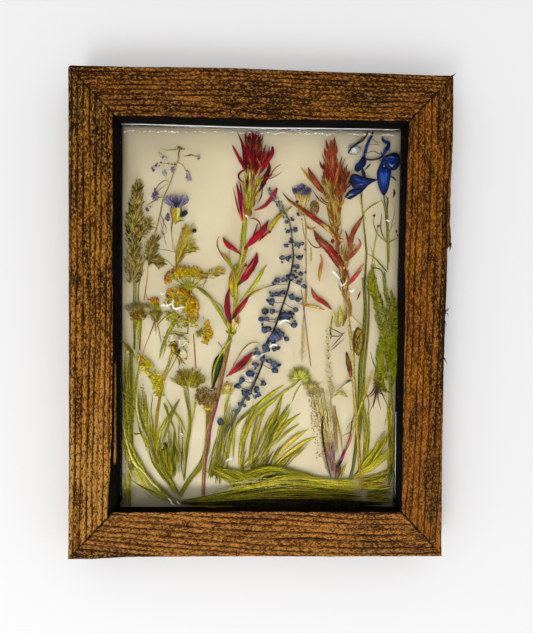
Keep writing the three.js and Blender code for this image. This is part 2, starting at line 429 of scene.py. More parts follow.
def build_rail(name, spec, finish):
    """One mitred rail, from its section swept along it: lines, worn edges, paint and stain."""
    depth = DEPTH / MM
    face = spec["face"] / MM
    seed = spec["seed"]
    loop, normals = rail_loop(face, depth, RABBET_WIDTH / MM, RABBET_TOP / MM)
    rows = int(spec["length"] / MM / ALONG_STEP)
    t = np.linspace(-1, 1, rows)[:, None]
    u0 = loop[None, :, 0]
    v0 = loop[None, :, 1]
    front = normals[None, :, 1] > 0.5
    outer = normals[None, :, 0] < -0.5
    inner = (normals[None, :, 0] > 0.5) & (v0 > RABBET_TOP / MM)
    down = np.clip((depth - v0) / (depth - RESIN_TOP / MM), 0, 1)
    lean = np.where(inner, WALL_LEAN[name] / MM * down, 0)
    rough_s = t * (spec["length"] / 2 / MM - u0 * spec["neighbour"] / spec["face"])
    near_outside = soft_step(7, 0, u0) * soft_step(0.2, 2.5, v0)
    near_brink = soft_step(face - 7, face, u0) * np.where(v0 > RABBET_TOP / MM, 1 - down, 0)
    u0 = u0 + lean - along_value(spec["edge"], rough_s) * near_outside
    u0 = u0 + along_value(spec["brink"], rough_s) * near_brink
    arris = 0.42 * soft_step(depth - 1.2, depth, v0) * (1 + 0.9 * noise(u0 / 2.2, v0 / 3, 0, seed))
    arris = arris * soft_step(0.2, 2.0, u0)
    half = spec["length"] / 2 / MM - MITRE_SLACK - u0 * spec["neighbour"] / spec["face"]
    s = t * half - np.sign(t) * arris * soft_step(0.988, 1, np.abs(t))
    u = np.broadcast_to(u0, s.shape).copy()
    v = np.broadcast_to(v0, s.shape).copy()
    ring = ring_count(spec, s, u, v, depth)
    rise = surface_rise(spec, finish.grain_relief / MM, ring, (s, u, v), (front, outer, inner))
    u = u + rise * normals[None, :, 0]
    v = v + rise * normals[None, :, 1]
    bark = along_value(spec["wane"], s) * (1 + 0.22 * noise(s / 5, 0, 0, seed + 7))
    bark = bark + 0.25 * noise(s / 1.7, 0, 0, seed)
    bark = np.maximum(bark, 0.4)
    outside = -along_value(spec["edge"], s)
    u, v = cut_corner(u, v, outside, depth, -1, bark, np.minimum(bark * 0.55, 3.2))
    bevel = along_value(spec["bevel"], s) + 0.3 * noise(s / 6, 0, 0, seed + 8)
    bevel = bevel + 0.12 * noise(s / 1.6, 0, 0, seed)
    bevel = np.maximum(bevel, 0.3)
    brink = face + along_value(spec["brink"], s)
    u, v = cut_corner(u, v, brink, depth, 1, bevel, bevel * 1.3)
    painted = painted_share(spec, s, v, brink - bevel * 0.9 - u, inner, down)
    waned = bark_share(s, u - outside, bark)
    s, u = round_corner(s, u, outside, spec)
    x, y = turn_into_place(s, u, spec)
    verts = np.stack([x, y, v], -1).reshape(-1, 3) * MM
    columns = len(loop)
    quads = grid_faces(rows, columns, closed_columns=True)
    first_end = list(range(columns))
    last_end = [(rows - 1) * columns + k for k in range(columns)][::-1]
    faces = quads[:, ::-1].tolist() + [first_end, last_end]
    obj = make_object(name, verts, faces, wood_material(name + "_wood", spec, finish))
    store(obj, "ring", "FLOAT", ring)
    store(obj, "board", "FLOAT_VECTOR", np.stack([s, u, v], -1))
    store(obj, "paint", "FLOAT", painted)
    store(obj, "bark", "FLOAT", waned)
    joint = JOINT_STAIN * soft_step(1.0, 0.2, half - np.abs(s)) * soft_step(3, 14, u)
    store(obj, "stain", "FLOAT", stain_depth(spec, s, u) + joint)
    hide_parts(name)
    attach(obj, "root")
    return obj


def round_corner(along, inset, outside, spec):
    """Pulls the outer corners in onto a small radius."""
    radius = np.where(along < 0, spec["round"][0], spec["round"][1])
    tip = spec["length"] / 2 / MM - MITRE_SLACK - outside * spec["neighbour"] / spec["face"]
    over_end = np.abs(along) - (tip - radius)
    over_side = radius - (inset - outside)
    beyond = (over_end > 0) & (over_side > 0)
    reach = np.where(beyond, np.hypot(over_end, over_side), radius)
    share = np.minimum(1, radius / np.maximum(reach, 1e-6))
    rounded = np.sign(along) * (tip - radius + over_end * share)
    return np.where(beyond, rounded, along), np.where(beyond, outside + radius - over_side * share, inset)


def stain_depth(spec, along, inset):
    """How deeply the stain has taken: above 0 darker, below 0 worn lighter."""
    stain = along_value(spec["stain"], along)
    patch = layered(along / 26, inset / 3.4, 0, spec["seed"] + 31, 3)
    stain = stain + spec["patches"] * (soft_step(0.12, 0.75, patch) - 0.3 * soft_step(-0.1, -0.7, patch))
    for spot, across, length, width, depth in spec["dark"]:
        wavy = inset - across - 0.45 * noise(along / 4.5, spot * 0.1, 0, 67)
        away = ((along - spot) / length) ** 2 + (wavy / width) ** 2
        stain = stain + depth * np.exp(-away) * (1 + 0.5 * noise(along / 2.2, inset / 0.9, 0, 71))
    if spec["turn"] == 2:
        away = np.hypot((along - KNOT_ALONG) / 3.0, (inset - KNOT_IN) / 4.6)
        stain = stain + 0.85 * np.exp(-((away - 1) / 0.24) ** 2) + 0.3 * soft_step(0.8, 0.2, away)
    return stain


def turn_into_place(along, inset, spec):
    """A rail's own along and inset as the frame's X and Y, in millimetres."""
    out = (HEIGHT if spec["turn"] % 2 == 0 else WIDTH) / 2 / MM
    a, b = along, inset - out
    return {0: (a, b), 1: (-b, a), 2: (-a, -b), 3: (b, -a)}[spec["turn"]]


def wood_material(name, spec, finish):
    """Stained softwood with growth lines, torn fibres, dark pits and a painted inside."""
    material, tree, shader = new_material(name)
    board = attribute(tree, "board", "Vector")
    ring = attribute(tree, "ring")
    fibre = grains(tree, board, 1.0, (0.22, 1.5, 1.5), detail=4)
    speckle = grains(tree, board, 1.0, (0.6, 1.2, 1.2), detail=3, rough=0.7)
    blotch = grains(tree, board, 0.05, (0.55, 2.2, 1), detail=3)
    turned = node(tree, "ShaderNodeMapping", {"Vector": board, "Rotation": (0, 0, 0.9)}).outputs[0]
    chatter = grains(tree, turned, 1.0, (0.3, 1.5, 1), detail=2, distortion=0.6)
    shift = maths(tree, "MULTIPLY", maths(tree, "SUBTRACT", fibre, 0.5), spec["fuzz"])
    shaken = maths(tree, "ADD", ring, shift)
    part = maths(tree, "FRACT", shaken)
    late = ramp(tree, part, 1 - spec["line"] * 1.9, 1 - spec["line"] * 0.35)
    faint = grains(tree, board, 0.11, (0.35, 1.6, 1), detail=2)
    late = maths(tree, "MULTIPLY", late, ramp(tree, faint, 0.32, 0.55, 0.45, 0.97))
    ground = mixed(tree, ramp(tree, blotch, 0.36, 0.62), rgba(spec["early"]), rgba(spec["middle"]))
    torn = maths(tree, "MULTIPLY", ramp(tree, chatter, 0.62, 0.42), 0.7 * spec["chatter"])
    ground = mixed(tree, torn, ground, rgba(spec["late"]))
    stain = attribute(tree, "stain")
    ground = mixed(tree, ramp(tree, stain, 0.0, -0.5, 0, 0.8), ground, (*finish.light_fleck, 1))
    ground = mixed(tree, ramp(tree, stain, 0.0, 0.9, 0, 0.92), ground, rgba(spec["late"]))
    lit = mixed(tree, ramp(tree, speckle, 0.51, 0.61, 0, 0.72 * spec["stipple"]), ground,
                (*finish.light_fleck, 1))
    lined = mixed(tree, late, lit, rgba(spec["late"]))
    pitted = mixed(tree, ramp(tree, speckle, 0.485, 0.42, 0, 0.95 * spec["stipple"]), lined,
                   (*finish.dark_fleck, 1))
    barked = mixed(tree, maths(tree, "MULTIPLY", attribute(tree, "bark"), 0.85), pitted,
                   (*finish.dark_fleck, 1))
    paint_edge = maths(tree, "ADD", attribute(tree, "paint"), maths(tree, "MULTIPLY", fibre, 0.3))
    paint = ramp(tree, paint_edge, 0.45, 0.75)
    streak = grains(tree, board, 1.0, (0.05, 1.2, 1.2), detail=3)
    worn = tuple(4 * c + 0.004 for c in finish.paint)
    black = mixed(tree, ramp(tree, streak, 0.5, 0.85), (*finish.paint, 1), (*worn, 1))
    colour = mixed(tree, paint, barked, black)
    tree.links.new(colour, shader.inputs["Base Color"])
    rough = maths(tree, "ADD", maths(tree, "MULTIPLY", paint, 0.1), ramp(tree, speckle, 0.3, 0.7, 0.8, 0.6))
    tree.links.new(rough, shader.inputs["Roughness"])
    height = maths(tree, "ADD", maths(tree, "MULTIPLY", speckle, 0.7), maths(tree, "MULTIPLY", fibre, 0.5))
    height = maths(tree, "SUBTRACT", height, maths(tree, "MULTIPLY", torn, 0.4))
    bump = node(tree, "ShaderNodeBump", {"Height": height, "Strength": 0.5, "Distance": 0.0005})
    tree.links.new(bump.outputs[0], shader.inputs["Normal"])
    shader.inputs["Specular IOR Level"].default_value = finish.wax
    return material


# ---------------------------------------------------------------- resin
MENISCUS_REACH = 0.7
RESIN_OVERLAP = 0.35
# Where a stem or petal breaks the surface, the resin wets it and stands up in a thin ridge.
RIDGES = [
    "163,304.5 171,304.5", "172,300 174,308 184,307.4", "161,293.4 163.5,293.4",
    "280,323.6 284,320.5 289,321", "270,347 273.5,344.5 277,345.6", "253,358 255,356 257,355.5",
    "261,355.6 263.5,353.8 266,353.6", "244,375 246.5,379 250,380 253.5,378.6 255.5,375",
    "332.5,271.6 336,274 340,278.6", "340,283 342.4,285.4 345.6,283", "349,290 351.6,291.6 354,289",
    "347,332 350,329.4 353,329", "387,220 389.4,221.4", "379.8,275 382,277.2",
    "168,498.6 171,501.6 173.6,505", "177.6,502.6 180,504", "226,461 228.4,459.6 231,459",
    "245.4,215.4 248,217.2", "180.6,433.4 182.6,434.6",
]
RIDGE_RISE, RIDGE_HALF = 0.5, 0.5
RIDGE_ROWS = (-1.1, -0.75, -0.5, -0.3, -0.12, 0.06, 0.22, 0.4, 0.62, 0.9, 1.2)    # points across a ridge
BUBBLES, LOOSE_BUBBLES = 70, 24
BUBBLE_RISE, BUBBLE_HALF = 0.14, 0.28
BUBBLE_RINGS = ((0.14, 6), (0.28, 8), (0.5, 9))     # radius, and points round it
CLOSEST = 0.13                      # these points are thinned to one in each cell this wide


def resin_rows(low, high):
    """Positions across the pool of resin, close together near the walls."""
    near = np.array([-RESIN_OVERLAP, 0.0, 0.2, 0.42, 0.68, 0.98, 1.34, 1.78, 2.3, 2.9, 3.7, 4.8, 6.2])
    middle = np.linspace(low + 8.5, high - 8.5, int((high - low - 17) / 3.2))
    return np.concatenate([low + near, middle, (high - near)[::-1]])


def ridge_lines():
    """The wetted ridges as closely spaced points, in millimetres across the frame."""
    lines = []
    for text in RIDGES:
        lines.append(smooth_path(place(xy(text), RESIN_TOP - GROUND_TOP)[:, :2] / MM, 0.22))
    return lines


def bubble_spots(random):
    """Tiny raised bubbles in a row just inside the top wall, and a few elsewhere."""
    along = random.uniform(POOL_LOW[0] / MM + 3, POOL_HIGH[0] / MM - 3, BUBBLES)
    down = random.uniform(3.2, 6.4, BUBBLES)
    row = np.stack([along, POOL_HIGH[1] / MM - down], 1)
    loose = random.uniform(-1, 1, (LOOSE_BUBBLES, 2)) * np.array([OPEN_X, OPEN_Y]) / MM * 0.93
    return np.vstack([row, loose])


def resin_height(points, lines, bubbles, rise):
    """Height of the resin's surface above its flat level, in millimetres."""
    low, high = np.array(POOL_LOW) / MM, np.array(POOL_HIGH) / MM
    to_side, to_head = np.maximum(np.minimum(points - low, high - points), 0).T
    height = rise * (np.exp(-to_side / MENISCUS_REACH) + np.exp(-to_head / MENISCUS_REACH))
    height = np.minimum(height, rise * 1.15)
    height += 0.05 * noise(points[:, 0] / 30, points[:, 1] / 30, 0, 3)
    for line in lines:
        near = np.linalg.norm(points - line.mean(0), axis=1) < 14
        gap = np.linalg.norm(points[near][:, None] - line[None], axis=2).min(1)
        height[near] += RIDGE_RISE * np.exp(-(gap / RIDGE_HALF) ** 2)
    for spot in bubbles:
        gap = np.linalg.norm(points - spot, axis=1)
        height += BUBBLE_RISE * np.exp(-(gap / BUBBLE_HALF) ** 2)
    return height


def resin_points(lines, bubbles):
    """Where the surface is measured: a coarse grid, with close points along ridges and round bubbles."""
    gx, gy = np.meshgrid(*(resin_rows(POOL_LOW[k] / MM, POOL_HIGH[k] / MM) for k in (0, 1)), indexing="ij")
    points = np.stack([gx.ravel(), gy.ravel()], 1)
    fine = []
    for line in lines:
        side = np.gradient(line, axis=0)
        side = np.stack([-side[:, 1], side[:, 0]], 1) / np.linalg.norm(side, axis=1)[:, None]
        for offset in RIDGE_ROWS:
            fine.append(line + side * offset)
    for spot in bubbles:
        fine.append(spot[None])
        for radius, count in BUBBLE_RINGS:
            angle = np.arange(count) / count * math.tau
            fine.append(spot + radius * np.stack([np.cos(angle), np.sin(angle)], 1))
    fine = np.vstack(fine)
    fine = fine[((fine > np.array(POOL_LOW) / MM + 0.1) & (fine < np.array(POOL_HIGH) / MM - 0.1)).all(1)]
    cells = np.round(fine / CLOSEST).astype(int)
    _, kept = np.unique(cells, axis=0, return_index=True)
    return np.vstack([points, fine[np.sort(kept)]])


def border_ring(tris):
    """The outline of a sheet of triangles: its vertices in order."""
    edges = {edge: True for a, b, c in tris for edge in ((a, b), (b, c), (c, a))}
    border = {a: b for a, b in edges if (b, a) not in edges}
    start = next(iter(border))
    ring = [start]
    while border[ring[-1]] != start:
        ring.append(border[ring[-1]])
    return ring


def build_resin(settings):
    """The clear layer, finely meshed where it climbs the walls, ridges and bubbles."""
    lines = ridge_lines()
    bubbles = bubble_spots(np.random.default_rng(5))
    points = resin_points(lines, bubbles)
    made = delaunay_2d_cdt([Vector(p) for p in points], [], [], 0, 1e-4)
    flat = np.array([tuple(v) for v in made[0]])
    tris = [list(f) for f in made[2]]
    top = resin_height(flat, lines, bubbles, settings.rim_rise / MM) + RESIN_TOP / MM
    ring = border_ring(tris)
    floor = GROUND_TOP / MM - 0.12
    low = np.column_stack([flat[ring], np.full(len(ring), floor)])
    verts = np.vstack([np.column_stack([flat, top]), low]) * MM
    base = len(flat)
    count = len(ring)
    walls = [[ring[(k + 1) % count], ring[k], base + k, base + (k + 1) % count] for k in range(count)]
    faces = tris + walls + [[base + k for k in range(count)][::-1]]
    obj = make_object("resin_layer", verts, faces, resin_material(settings))
    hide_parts("clear_resin")
    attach(obj, "root")
    return obj


def resin_material(settings):
    """Clear casting resin, very slightly yellow through its depth."""
    material, tree, shader = new_material("clear_resin_cast")
    shader.inputs["Base Color"].default_value = (1, 1, 1, 1)
    shader.inputs["Roughness"].default_value = 0.0
    shader.inputs["IOR"].default_value = RESIN_INDEX
    shader.inputs["Transmission Weight"].default_value = 1.0
    depth = {"Color": (*settings.tint, 1), "Density": settings.depth_of_tint}
    absorb = node(tree, "ShaderNodeVolumeAbsorption", depth)
    output = tree.nodes["Material Output"]
    tree.links.new(absorb.outputs[0], output.inputs["Volume"])
    return material


# ---------------------------------------------------------------- ground, board and brads
FOOT_SHADE_SHIFT = 0.007      # how far the painted shade along the walls is pushed out at the bottom wall, so the foot of the ground stays lighter
# Bands of painted shade along the walls, the narrowest a painted dark edge where the black wall shows through
# the resin's rim: where each begins, where it is full, and how much it hides.
WALL_SHADE = ((0.028, 0.003, 0.17), (0.0075, 0.001, 0.36), (0.0021, 0.0015, 0.5))
# Painted shade in the two top corners of the recess: where it begins, where it is full, and how dark it is.
CORNER_SHADE = (0.075, 0.012, 0.2)


def ground_material(settings):
    """Cream opaque resin with faint clouds, a few fine specks of plant dust, and painted shade along the
    walls and in the top corners.
    """
    material, tree, shader = new_material("cream_ground_cast")
    spot = node(tree, "ShaderNodeTexCoord").outputs["Object"]
    cloud = grains(tree, spot, 22, detail=4)
    colour = mixed(tree, ramp(tree, cloud, 0.3, 0.7), (*settings.light, 1), (*settings.cloud, 1))
    dust = node(tree, "ShaderNodeTexVoronoi", {"Vector": spot, "Scale": 260.0}).outputs["Distance"]
    thin = grains(tree, spot, 60, detail=1)
    dots = maths(tree, "MULTIPLY", ramp(tree, dust, 0.09, 0.05), ramp(tree, thin, 0.62, 0.7))
    colour = mixed(tree, maths(tree, "MULTIPLY", dots, 0.7), colour, rgba("5a4a35"))
    part = node(tree, "ShaderNodeSeparateXYZ", {0: spot})
    nearest = None
    sides = (("X", POOL_LOW[0], POOL_HIGH[0]), ("Y", POOL_LOW[1] - FOOT_SHADE_SHIFT, POOL_HIGH[1]))
    for axis, low, high in sides:
        middle = maths(tree, "SUBTRACT", part.outputs[axis], (low + high) / 2)
        gap = maths(tree, "SUBTRACT", (high - low) / 2, maths(tree, "ABSOLUTE", middle))
        nearest = gap if nearest is None else maths(tree, "MINIMUM", nearest, gap)
    to_wall = maths(tree, "ADD", nearest, maths(tree, "MULTIPLY", cloud, 0.002))
    # Painted shade: the ground darkens within a few millimetres of each wall.
    shaded = None
    for begins, full, most in WALL_SHADE:
        band = ramp(tree, to_wall, begins, full, 0, most)
        shaded = band if shaded is None else maths(tree, "ADD", shaded, band)
    begins, full, most = CORNER_SHADE
    # Painted shade in the top-left and top-right corners.
    for corner in ((POOL_LOW[0], POOL_HIGH[1]), POOL_HIGH):
        gap = node(tree, "ShaderNodeVectorMath", {0: spot, 1: (*corner, GROUND_TOP)},
                   operation="DISTANCE").outputs["Value"]
        shaded = maths(tree, "ADD", shaded, ramp(tree, gap, begins, full, 0, most))
    colour = mixed(tree, shaded, colour, (*settings.rim, 1))
    tree.links.new(colour, shader.inputs["Base Color"])
    shader.inputs["Roughness"].default_value = 0.5
    bump = node(tree, "ShaderNodeBump", {"Height": cloud, "Strength": 0.15, "Distance": 0.0004})
    tree.links.new(bump.outputs[0], shader.inputs["Normal"])
    return material


def build_ground(settings):
    """The opaque cream layer, cast against the four walls."""
    reach = RESIN_OVERLAP * MM
    low_x, low_y = (v - reach for v in POOL_LOW)
    high_x, high_y = (v + reach for v in POOL_HIGH)
    verts = [(x, y, z) for z in (RABBET_TOP, GROUND_TOP) for x, y in
             ((low_x, low_y), (high_x, low_y), (high_x, high_y), (low_x, high_y))]
    faces = [[3, 2, 1, 0], [4, 5, 6, 7], [0, 1, 5, 4], [1, 2, 6, 5], [2, 3, 7, 6], [3, 0, 4, 7]]
    obj = make_object("ground_layer", verts, faces, ground_material(settings), smooth=False)
    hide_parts("cream_ground")
    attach(obj, "root")


def plywood_material():
    """Bare thin plywood, with long figure, short pores and a cut edge that shows through."""
    material, tree, shader = new_material("backing_plywood")
    spot = node(tree, "ShaderNodeTexCoord").outputs["Object"]
    figure = grains(tree, spot, 60, (1.6, 0.12, 1.6), detail=5, distortion=1.2)
    pores = grains(tree, spot, 900, (1.0, 0.1, 1.0), detail=2)
    colour = mixed(tree, ramp(tree, figure, 0.35, 0.68), rgba("c9a679"), rgba("a27f52"))
    colour = mixed(tree, ramp(tree, pores, 0.42, 0.34, 0, 0.6), colour, rgba("6f5230"))
    tree.links.new(colour, shader.inputs["Base Color"])
    shader.inputs["Roughness"].default_value = 0.75
    bump = node(tree, "ShaderNodeBump", {"Height": pores, "Strength": 0.4, "Distance": 0.0002})
    tree.links.new(bump.outputs[0], shader.inputs["Normal"])
    return material


def brad_material():
    """Bright drawn steel with fine scuffs and a little tarnish."""
    material, tree, shader = new_material("brad_steel")
    spot = node(tree, "ShaderNodeTexCoord").outputs["Object"]
    scuff = grains(tree, spot, 1400, (1, 3, 1), detail=2)
    tarnish = grains(tree, spot, 500, detail=3)
    colour = mixed(tree, ramp(tree, tarnish, 0.45, 0.7), rgba("b9b9b4"), rgba("7d7468"))
    tree.links.new(colour, shader.inputs["Base Color"])
    tree.links.new(ramp(tree, scuff, 0.3, 0.7, 0.25, 0.45), shader.inputs["Roughness"])
    shader.inputs["Metallic"].default_value = 1.0
    return material


def refinish(nodes, material):
    """Gives carried-over pieces their finish."""
    for name in nodes:
        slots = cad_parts[name].data.materials
        slots.clear()
        slots.append(material)


# ---------------------------------------------------------------- dried plants
# Colours of the dried plants, by name.
PALETTE = {
    "ink": "08090a", "root": "24120a", "bark": "472614", "umber": "6a421c", "tan": "ad8a48",
    "straw": "cfbb6e", "cream": "e0d8ac", "white": "eeebd6", "khaki": "978a32", "olive": "6d6318",
    "moss": "474408", "dark": "1d1e04", "leaf": "777818", "lime": "a9ab2c", "pale_lime": "c9c566",
    "yellow": "dcb820", "gold": "b5920a", "orange": "c0700c", "rust": "8c420e", "green": "2f5216",
    "deep_green": "0c2a0a", "crimson": "860a16", "blood": "430507", "red": "9c1222", "rose": "b2324a",
    "pink": "d8837c", "maroon": "560c18", "brick": "803324", "clay": "98523a", "salmon": "bb7a56",
    "navy": "050f38", "blue": "0a2574", "sky": "3f62a6", "ice": "9fb3c4", "slate": "36425a",
    "steel": "566482", "ash": "8b8f96", "haze": "b3b2aa", "purple": "42305a", "mauve": "7c6a88",
    # glint is pure white, for the painted highlights in the resin.
    "glint": "ffffff", "lilac": "a898ac", "plum": "6b3456", "violet": "322a4e", "grape": "8a4468",
}


def tints(names):
    """Linear colours of the named tints, as rows."""
    return np.array([linear(PALETTE[n]) for n in names.split()])


def ball(divisions):
    """A unit ball's vertices and triangles."""
    shape = bmesh.new()
    bmesh.ops.create_icosphere(shape, subdivisions=divisions, radius=1.0)
    verts = np.array([v.co[:] for v in shape.verts])
    faces = np.array([[v.index for v in f.verts] for f in shape.faces])
    shape.free()
    return verts, faces


BALLS = {1: ball(1), 2: ball(2), 3: ball(3)}
TINY_BLOB = 1.7          # blobs under this size get the plainest ball
UP = np.array([0.0, 0.0, 1.0])


class Sprig:
    """Gathers the closed shells of one dried plant, each vertex with its tint and fibre place.
    Routes and spots are on the layout sheet, sizes and heights above the ground in millimetres."""

    def __init__(self, seed):
        self.random = np.random.default_rng(seed)
        self.verts = []
        self.faces = []
        self.tints = []
        self.fibres = []
        self.count = 0
        self.shells = 0

    def add(self, verts, faces, colours, fibres):
        """Takes in one closed shell; its faces count from its own first vertex."""
        self.verts.append(np.asarray(verts))
        for group in faces:
            self.faces.extend((np.asarray(group) + self.count).tolist())
        self.tints.append(np.clip(colours, 0.0005, 1))
        self.fibres.append(fibres)
        self.count += len(verts)
        self.shells += 1

    def pick(self, names):
        """One of the named tints."""
        shade = names.split()
        return shade[int(self.random.integers(0, len(shade)))]

    def picks(self, names, count):
        """Some of the named tints, as a run of names."""
        return " ".join(self.pick(names) for _ in range(count))

    def blade(self, route, widths, names, height=2.0, thick=0.5, edge=None, sides=8, ragged=0.0, step=1.7,
              fold=0.0, mottle=0.18, line=None):
        """A pressed blade, petal or stem: a lens section swept along a route, with pointed ends."""
        points = smooth_path(xy(route) if isinstance(route, str) else np.asarray(route, float), step)
        count = len(points)
        lift = spread(height, count)[:, 0] * MM
        centre = place(points, lift)
        forward = np.gradient(centre, axis=0)
        side = np.cross(UP, forward)
        side /= np.maximum(np.linalg.norm(side, axis=1), 1e-9)[:, None]
        along = np.concatenate([[0], np.cumsum(np.linalg.norm(np.diff(centre, axis=0), axis=1))]) / MM
        key = int(self.random.integers(1, 10 ** 6))
        wide = spread(widths, count)[:, 0] / 2
        wide = np.maximum(wide * (1 + ragged * noise(along / 1.1, key % 97)), 0.04)
        deep = np.minimum(thick / 2, wide) * np.sqrt(wide / wide.max())
        angle = np.arange(sides) / sides * math.tau
        across = np.cos(angle)
        bulge = np.sin(angle) * deep[:, None] + fold * (1 - np.abs(across)) * wide[:, None]
        verts = (centre[:, None] + side[:, None] * (wide[:, None] * across)[..., None] * MM
                 + UP * bulge[..., None] * MM)
        colour = spread(tints(names), count)
        rim = tints(edge)[0] if edge else None
        # The margins darken towards the rim tint, or to a third of the tint without one: partly the dried
        # margins' own colour, partly painted shade between neighbouring blades.
        share = np.abs(across)[None, :, None] ** 4
        colour = np.repeat(colour[:, None], sides, 1)
        colour = colour * (1 - share * 0.85) + share * 0.85 * (rim if edge else colour * 0.3)
        if line:
            middle = (np.abs(across) < 0.3)[None, :, None] * 0.8
            colour = colour * (1 - middle) + middle * tints(line)[0]
        patch = noise(along[:, None] / 3.0, across[None] * 1.5, key % 53, 7)
        colour = colour * (1 + mottle * patch)[..., None] * (1 + 0.1 * self.random.normal())
        fibre = np.stack([np.repeat(along[:, None], sides, 1), across[None] * wide[:, None],
                          np.full((count, sides), float(key % 1000))], -1)
        ends = np.stack([centre[0] - forward[0] * 0.3, centre[-1] + forward[-1] * 0.3])
        all_verts = np.vstack([verts.reshape(-1, 3), ends])
        n = count * sides
        ring = np.arange(sides)
        after = (ring + 1) % sides
        start = np.stack([np.full(sides, n), after, ring], 1)
        base = (count - 1) * sides
        finish = np.stack([np.full(sides, n + 1), base + ring, base + after], 1)
        quads = grid_faces(count, sides, closed_columns=True)
        colours = np.vstack([colour.reshape(-1, 3), colour[0, :1], colour[-1, :1]])
        fibres = np.vstack([fibre.reshape(-1, 3), fibre[0, :1], fibre[-1, :1]])
        self.add(all_verts, [quads, start, finish], colours, fibres)

    def blob(self, spot, size, names, height=2.0, turn=0.0, lumps=0.15, divisions=2, rim=0.6):
        """A rounded bud, floret or seed. size is across, along and thick."""
        verts, faces = BALLS[1 if max(size) < TINY_BLOB else divisions]
        key = int(self.random.integers(1, 10 ** 6))
        swell = 1 + lumps * noise(verts[:, 0] * 1.7 + key % 91, verts[:, 1] * 1.7, verts[:, 2] * 1.7, 5)
        local = verts * swell[:, None] * np.array(size) / 2
        c, s = math.cos(turn), math.sin(turn)
        turned = np.stack([local[:, 0] * c - local[:, 1] * s, local[:, 0] * s + local[:, 1] * c, local[:, 2]],
                          1)
        centre = place([spot], height * MM)[0]
        colours = tints(names)
        outwards = np.hypot(verts[:, 0], verts[:, 1])
        share = soft_step(0.35, 1.0, outwards)[:, None]
        colour = colours[0] * (1 - share) + colours[-1] * share
        # The outer fifth darkens by rim: partly a darker floret margin, partly painted shade round its
        # rounded side.
        colour = colour * (1 - (1 - rim) * soft_step(0.8, 1.0, outwards))[:, None]
        colour = colour * (1 + 0.22 * noise(verts[:, 0] * 2.5, verts[:, 1] * 2.5, key % 77, 3))[:, None]
        colour = colour * (1 + 0.12 * self.random.normal())
        fibre = np.column_stack([local[:, 1], local[:, 0], np.full(len(verts), float(key % 1000))])
        self.add(centre + turned * MM, [faces], colour, fibre)

    def petal(self, outline, names, height=2.5, thick=0.5, dome=0.5, crease=0.0):
        """A broad domed petal inside an outline, from its middle's tint to its rim's."""
        points = xy(outline)
        loop = smooth_path(np.vstack([points, points[:1]]), 1.3)[:-1]
        count = len(loop)
        middle = loop.mean(0)
        key = int(self.random.integers(1, 10 ** 6))
        shares = (0.0, 0.3, 0.6, 0.85, 1.0)
        layers = []
        for share in shares[1:]:
            layers.append(middle + (loop - middle) * share)
        flat = np.vstack([middle[None]] + layers)
        share = np.concatenate([[0]] + [np.full(count, s) for s in shares[1:]])
        lift = spread(height, 2)[0, 0] + dome * (1 - share ** 2)
        angle = np.arctan2(flat[:, 1] - middle[1], flat[:, 0] - middle[0])
        lift = lift + crease * share * np.cos(angle * 5 + key % 7) * (1 - share * 0.5)
        top = place(flat, (lift + thick / 2 * (1 - share ** 4)) * MM)
        low = place(flat, (lift - thick / 2 * (1 - share ** 4)) * MM)
        keep = 1 + (len(shares) - 2) * count
        verts = np.vstack([top, low[:keep]])
        ring = np.arange(count)
        after = (ring + 1) % count
        rim = keep
        groups = []
        for offset, flip in ((0, False), (len(top), True)):
            def at(layer, index):
                if layer == len(shares) - 1:
                    return rim + index
                return offset + 1 + (layer - 1) * count + index
            fan = np.stack([np.full(count, offset), at(1, ring), at(1, after)], 1)
            groups.append(fan if not flip else fan[:, ::-1])
            for layer in range(1, len(shares) - 1):
                quads = np.stack([at(layer, ring), at(layer + 1, ring), at(layer + 1, after),
                                  at(layer, after)], 1)
                groups.append(quads if not flip else quads[:, ::-1])
        colours = tints(names)
        where = np.concatenate([share, share[:keep]])
        mix = np.stack([np.interp(where, np.linspace(0, 1, len(colours)), colours[:, k]) for k in range(3)],
                       1)
        both = np.vstack([flat, flat[:keep]])
        vein = noise(np.concatenate([angle, angle[:keep]]) * 7, where, key % 31, 2)
        mix = mix * (1 + 0.2 * noise(both[:, 0] / 3, both[:, 1] / 3, key % 13, 4) + 0.15 * vein)[:, None]
        fibre = np.column_stack([where * 6, np.concatenate([angle, angle[:keep]]) * 3,
                                 np.full(len(both), key % 999)])
        area = np.cross(loop - middle, np.roll(loop, -1, 0) - middle).sum()
        if area > 0:
            groups = [g[:, ::-1] for g in groups]
        self.add(verts, groups, mix, fibre)

    def spikes(self, spots, angles, lengths, widths, names, height=2.0, rise=0.0):
        """Many straight tapering hairs at once: their spots, directions in degrees and lengths."""
        spots = np.atleast_2d(spots)
        n = len(spots)
        angles = np.radians(np.broadcast_to(angles, n))
        lengths = np.broadcast_to(lengths, n)
        widths = np.broadcast_to(widths, n)
        base = place(spots, np.broadcast_to(height, n) * MM)
        ahead = np.stack([np.cos(angles), np.sin(angles), np.full(n, rise)], 1)
        side = np.stack([-np.sin(angles), np.cos(angles), np.zeros(n)], 1) * (widths / 2)[:, None] * MM
        lift = UP * (widths / 2)[:, None] * MM
        tip = base + ahead * lengths[:, None] * MM
        verts = np.stack([base + side - lift * 0.5, base - side - lift * 0.5, base + lift * 0.7, tip], 1)
        first = np.arange(n) * 4
        faces = np.concatenate([np.stack([first + a, first + b, first + c], 1) for a, b, c in
                                ((0, 1, 2), (0, 3, 1), (1, 3, 2), (2, 3, 0))])
        colours = tints(names)
        pick = colours[self.random.integers(0, len(colours), n)]
        pick = pick * (1 + 0.15 * self.random.normal(size=n))[:, None]
        # Each hair's two lower corners are a quarter darker than its top, painted shade on its underside, and
        # its tip is a little lighter.
        colour = np.stack([pick * 0.75, pick * 0.75, pick, pick * 1.15], 1).reshape(-1, 3)
        fibre = np.zeros((n * 4, 3))
        self.add(verts.reshape(-1, 3), [faces[:, ::-1]], colour, fibre)

